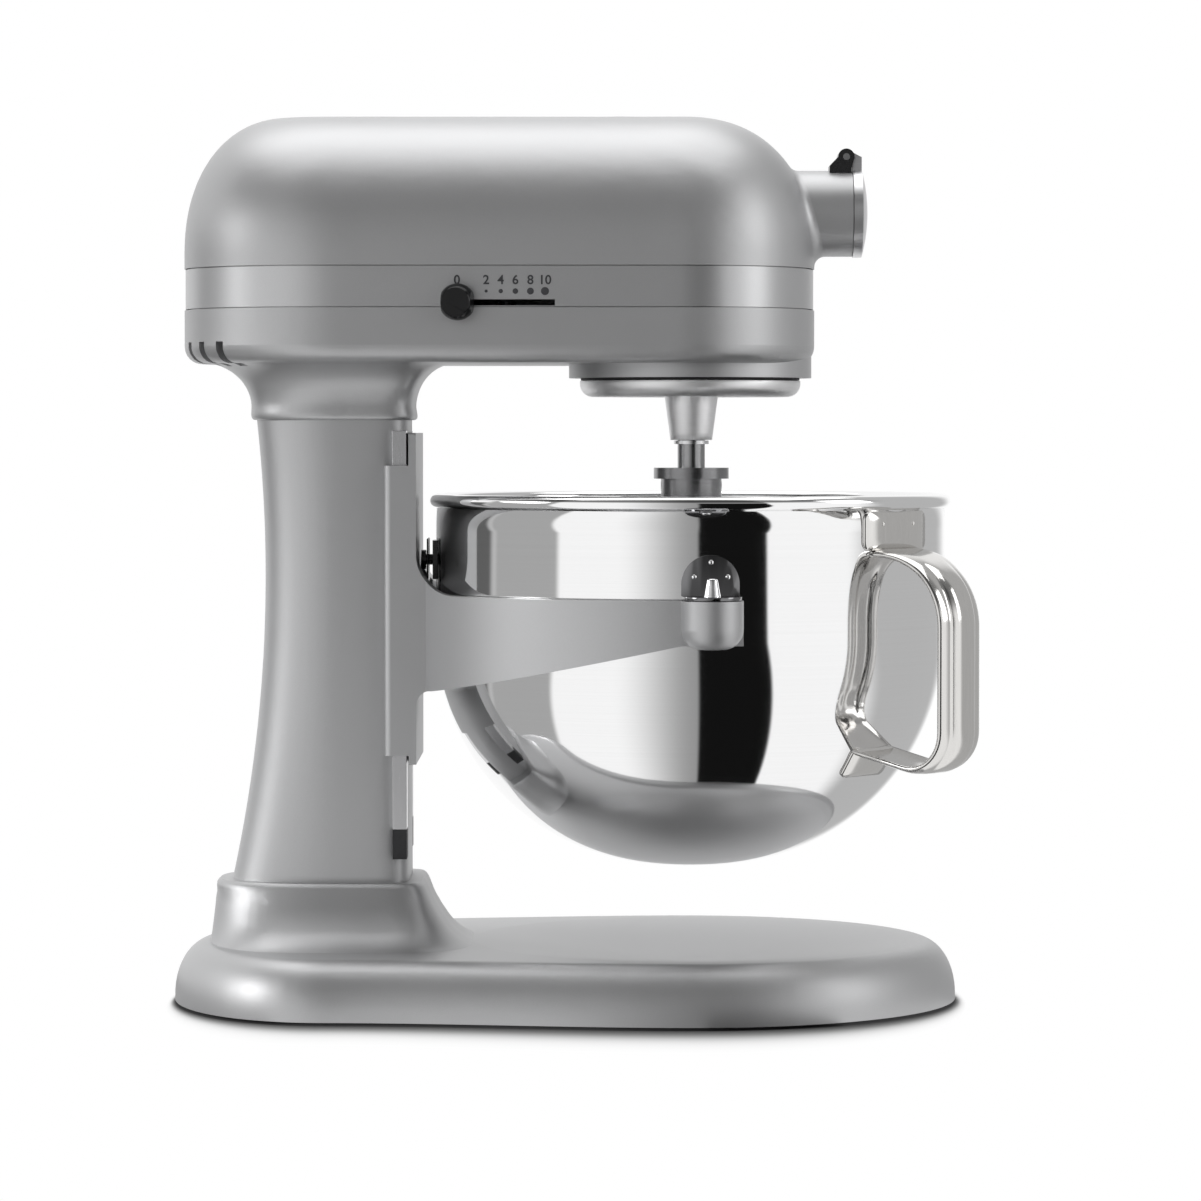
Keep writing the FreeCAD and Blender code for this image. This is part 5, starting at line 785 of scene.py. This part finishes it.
class MIXER_OT_stage(bpy.types.Operator):
    """Pale floor with a painted shadow near the base, soft studio light and the camera"""
    bl_idname = "mixer.stage"
    bl_label = "Stage"

    def execute(self, context):
        scene = context.scene
        scene.view_settings.view_transform = "Standard"
        self.floor(scene)
        self.sky(scene)
        for lamp in LAMPS:
            self.lamp(*lamp)
        camera = bpy.data.cameras.new("camera")
        camera.lens = CAMERA_LENS
        camera.sensor_width = SENSOR_WIDTH
        camera.clip_end = 100.0
        holder = bpy.data.objects.new("camera", camera)
        holder.location = CAMERA_PLACE
        holder.rotation_euler = (CAMERA_TILT, 0, 0)
        scene.collection.objects.link(holder)
        scene.camera = holder
        return {"FINISHED"}

    @staticmethod
    def room(x, y, low, floor):
        """Brightness of the studio by its bearing; the dark cards stand low or near the floor."""
        side = x.bearing(0.0 - y)
        plain = 1 - side.within(WALL) - side.within(SLOPE) - side.within(FLANK)
        return plain * (1 - side.within(CARD) * low) * (1 - side.within(GLOOM) * floor)

    @staticmethod
    def from_base(x, y):
        """Distance outside the base's outline: a round front, eased sides and an oval rear."""
        low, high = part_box("base")
        front = high[1]
        rear = 0.106
        rear_x = low[0] + 0.075
        ahead = (x - MIX_X).larger(0.0)
        behind = (rear_x - x).larger(0.0) * (rear / 0.075)
        reach = (ahead * ahead + behind * behind + y * y).root()
        return reach - rear - x.rise(rear_x, MIX_X) * (front - rear)

    def floor(self, scene):
        """White floor: it glows far off and mirrors the studio. Near the mixer it takes the real shadow, plus
        a painted shadow where its colour darkens towards the base.
        """
        shape = bmesh.new()
        bmesh.ops.create_grid(shape, x_segments=1, y_segments=1, size=FLOOR_SIZE)
        mesh = bpy.data.meshes.new("floor")
        shape.to_mesh(mesh)
        shape.free()
        material = bpy.data.materials.new("pale_floor")
        tree = Shading(material)
        x, y, _ = tree.split(tree.place())
        light = tree.add("ShaderNodeLightPath")
        edge = self.from_base(x, y)
        away = edge / (edge - self.from_base(x, y * 0.7) + 0.004)
        # Painted shadow: the floor's colour darkens close to the base, from 0.12 at its edge to 0.95 further
        # out.
        tone = 0.12 + away.rise(-0.1, 1.0) * 0.83
        floor_with_painted_shadow = tree.add("ShaderNodeBsdfDiffuse", None, {"Color": tree.joined(tone, tone, tone)})
        white = tree.add("ShaderNodeEmission", None, {"Color": (1, 1, 1, 1), "Strength": 1.0})
        far = away.rise(0.25, 1.25)
        seen = tree.add("ShaderNodeMixShader", None,
                        {"Fac": far, 1: floor_with_painted_shadow.out(0), 2: white.out(0)})
        level = self.room(x - MIX_X, y, 1.0, 1.0)
        mirrored = tree.add("ShaderNodeEmission", None,
                            {"Color": tree.joined(level, level, level), "Strength": 1.0})
        plain = tree.add("ShaderNodeMixShader", None,
                         {"Fac": light.out("Is Camera Ray"), 1: floor_with_painted_shadow.out(0), 2: seen.out(0)})
        both = tree.add("ShaderNodeMixShader", None,
                        {"Fac": light.out("Is Glossy Ray"), 1: plain.out(0), 2: mirrored.out(0)})
        tree.add("ShaderNodeOutputMaterial", None, {"Surface": both.out(0)})
        mesh.materials.append(material)
        floor = bpy.data.objects.new("floor", mesh)
        scene.collection.objects.link(floor)

    def sky(self, scene):
        world = bpy.data.worlds.new("studio")
        scene.world = world
        tree = Shading(world)
        x, y, z = tree.split(tree.add("ShaderNodeTexCoord").out("Generated"))
        front = z.rise(0.20, 0.55) * (0.0 - y).rise(-0.2, 0.2)
        level = self.room(x, y, 1 - z.rise(0.10, 0.25), 1 - z.rise(0.03, 0.10)) * (1 - front * 0.8)
        light = tree.add("ShaderNodeLightPath").out("Is Camera Ray")
        room = tree.add("ShaderNodeBackground", None,
                        {"Color": tree.joined(level, level, level), "Strength": 1.0})
        white = tree.add("ShaderNodeBackground", None, {"Color": (1, 1, 1, 1), "Strength": 1.0})
        both = tree.add("ShaderNodeMixShader", None, {"Fac": light, 1: room.out(0), 2: white.out(0)})
        tree.add("ShaderNodeOutputWorld", None, {"Surface": both.out(0)})

    @staticmethod
    def lamp(name, place, target, width, height, power, spread):
        light = bpy.data.lights.new(name, "AREA")
        light.shape = "RECTANGLE"
        light.size = width
        light.size_y = height
        light.energy = power
        light.spread = math.radians(spread)
        holder = bpy.data.objects.new(name, light)
        holder.location = place
        aim = Vector(target) - Vector(place)
        holder.rotation_euler = aim.to_track_quat("-Z", "Y").to_euler()
        bpy.context.scene.collection.objects.link(holder)


class MIXER_PT_panel(bpy.types.Panel):
    """Lists the mixer's pieces and finishes"""
    bl_idname = "MIXER_PT_panel"
    bl_label = "Stand mixer"
    bl_space_type = "VIEW_3D"
    bl_region_type = "UI"
    bl_category = "Mixer"

    def draw(self, context):
        layout = self.layout
        for name in MixerColours.__annotations__:
            layout.prop(context.scene.mixer_colours, name)
        for name in MixerSizes.__annotations__:
            layout.prop(context.scene.mixer_sizes, name)
        for maker in MAKERS:
            layout.operator(maker.bl_idname)


MAKERS = (MIXER_OT_casing, MIXER_OT_metalwork, MIXER_OT_drive, MIXER_OT_black_parts, MIXER_OT_bowl,
          MIXER_OT_handle, MIXER_OT_speed_scale, MIXER_OT_stage)
CLASSES = (MixerColours, MixerSizes) + MAKERS + (MIXER_PT_panel,)


def register():
    for kind in CLASSES:
        bpy.utils.register_class(kind)
    bpy.types.Scene.mixer_colours = bpy.props.PointerProperty(type=MixerColours)
    bpy.types.Scene.mixer_sizes = bpy.props.PointerProperty(type=MixerSizes)


def unregister():
    del bpy.types.Scene.mixer_sizes
    del bpy.types.Scene.mixer_colours
    for kind in reversed(CLASSES):
        bpy.utils.unregister_class(kind)


def main():
    register()
    bpy.ops.mixer.casing()
    bpy.ops.mixer.metalwork()
    bpy.ops.mixer.drive()
    bpy.ops.mixer.black_parts()
    bpy.ops.mixer.bowl()
    bpy.ops.mixer.handle()
    bpy.ops.mixer.speed_scale()
    bpy.ops.mixer.stage()


if __name__ == "__main__":
    main()
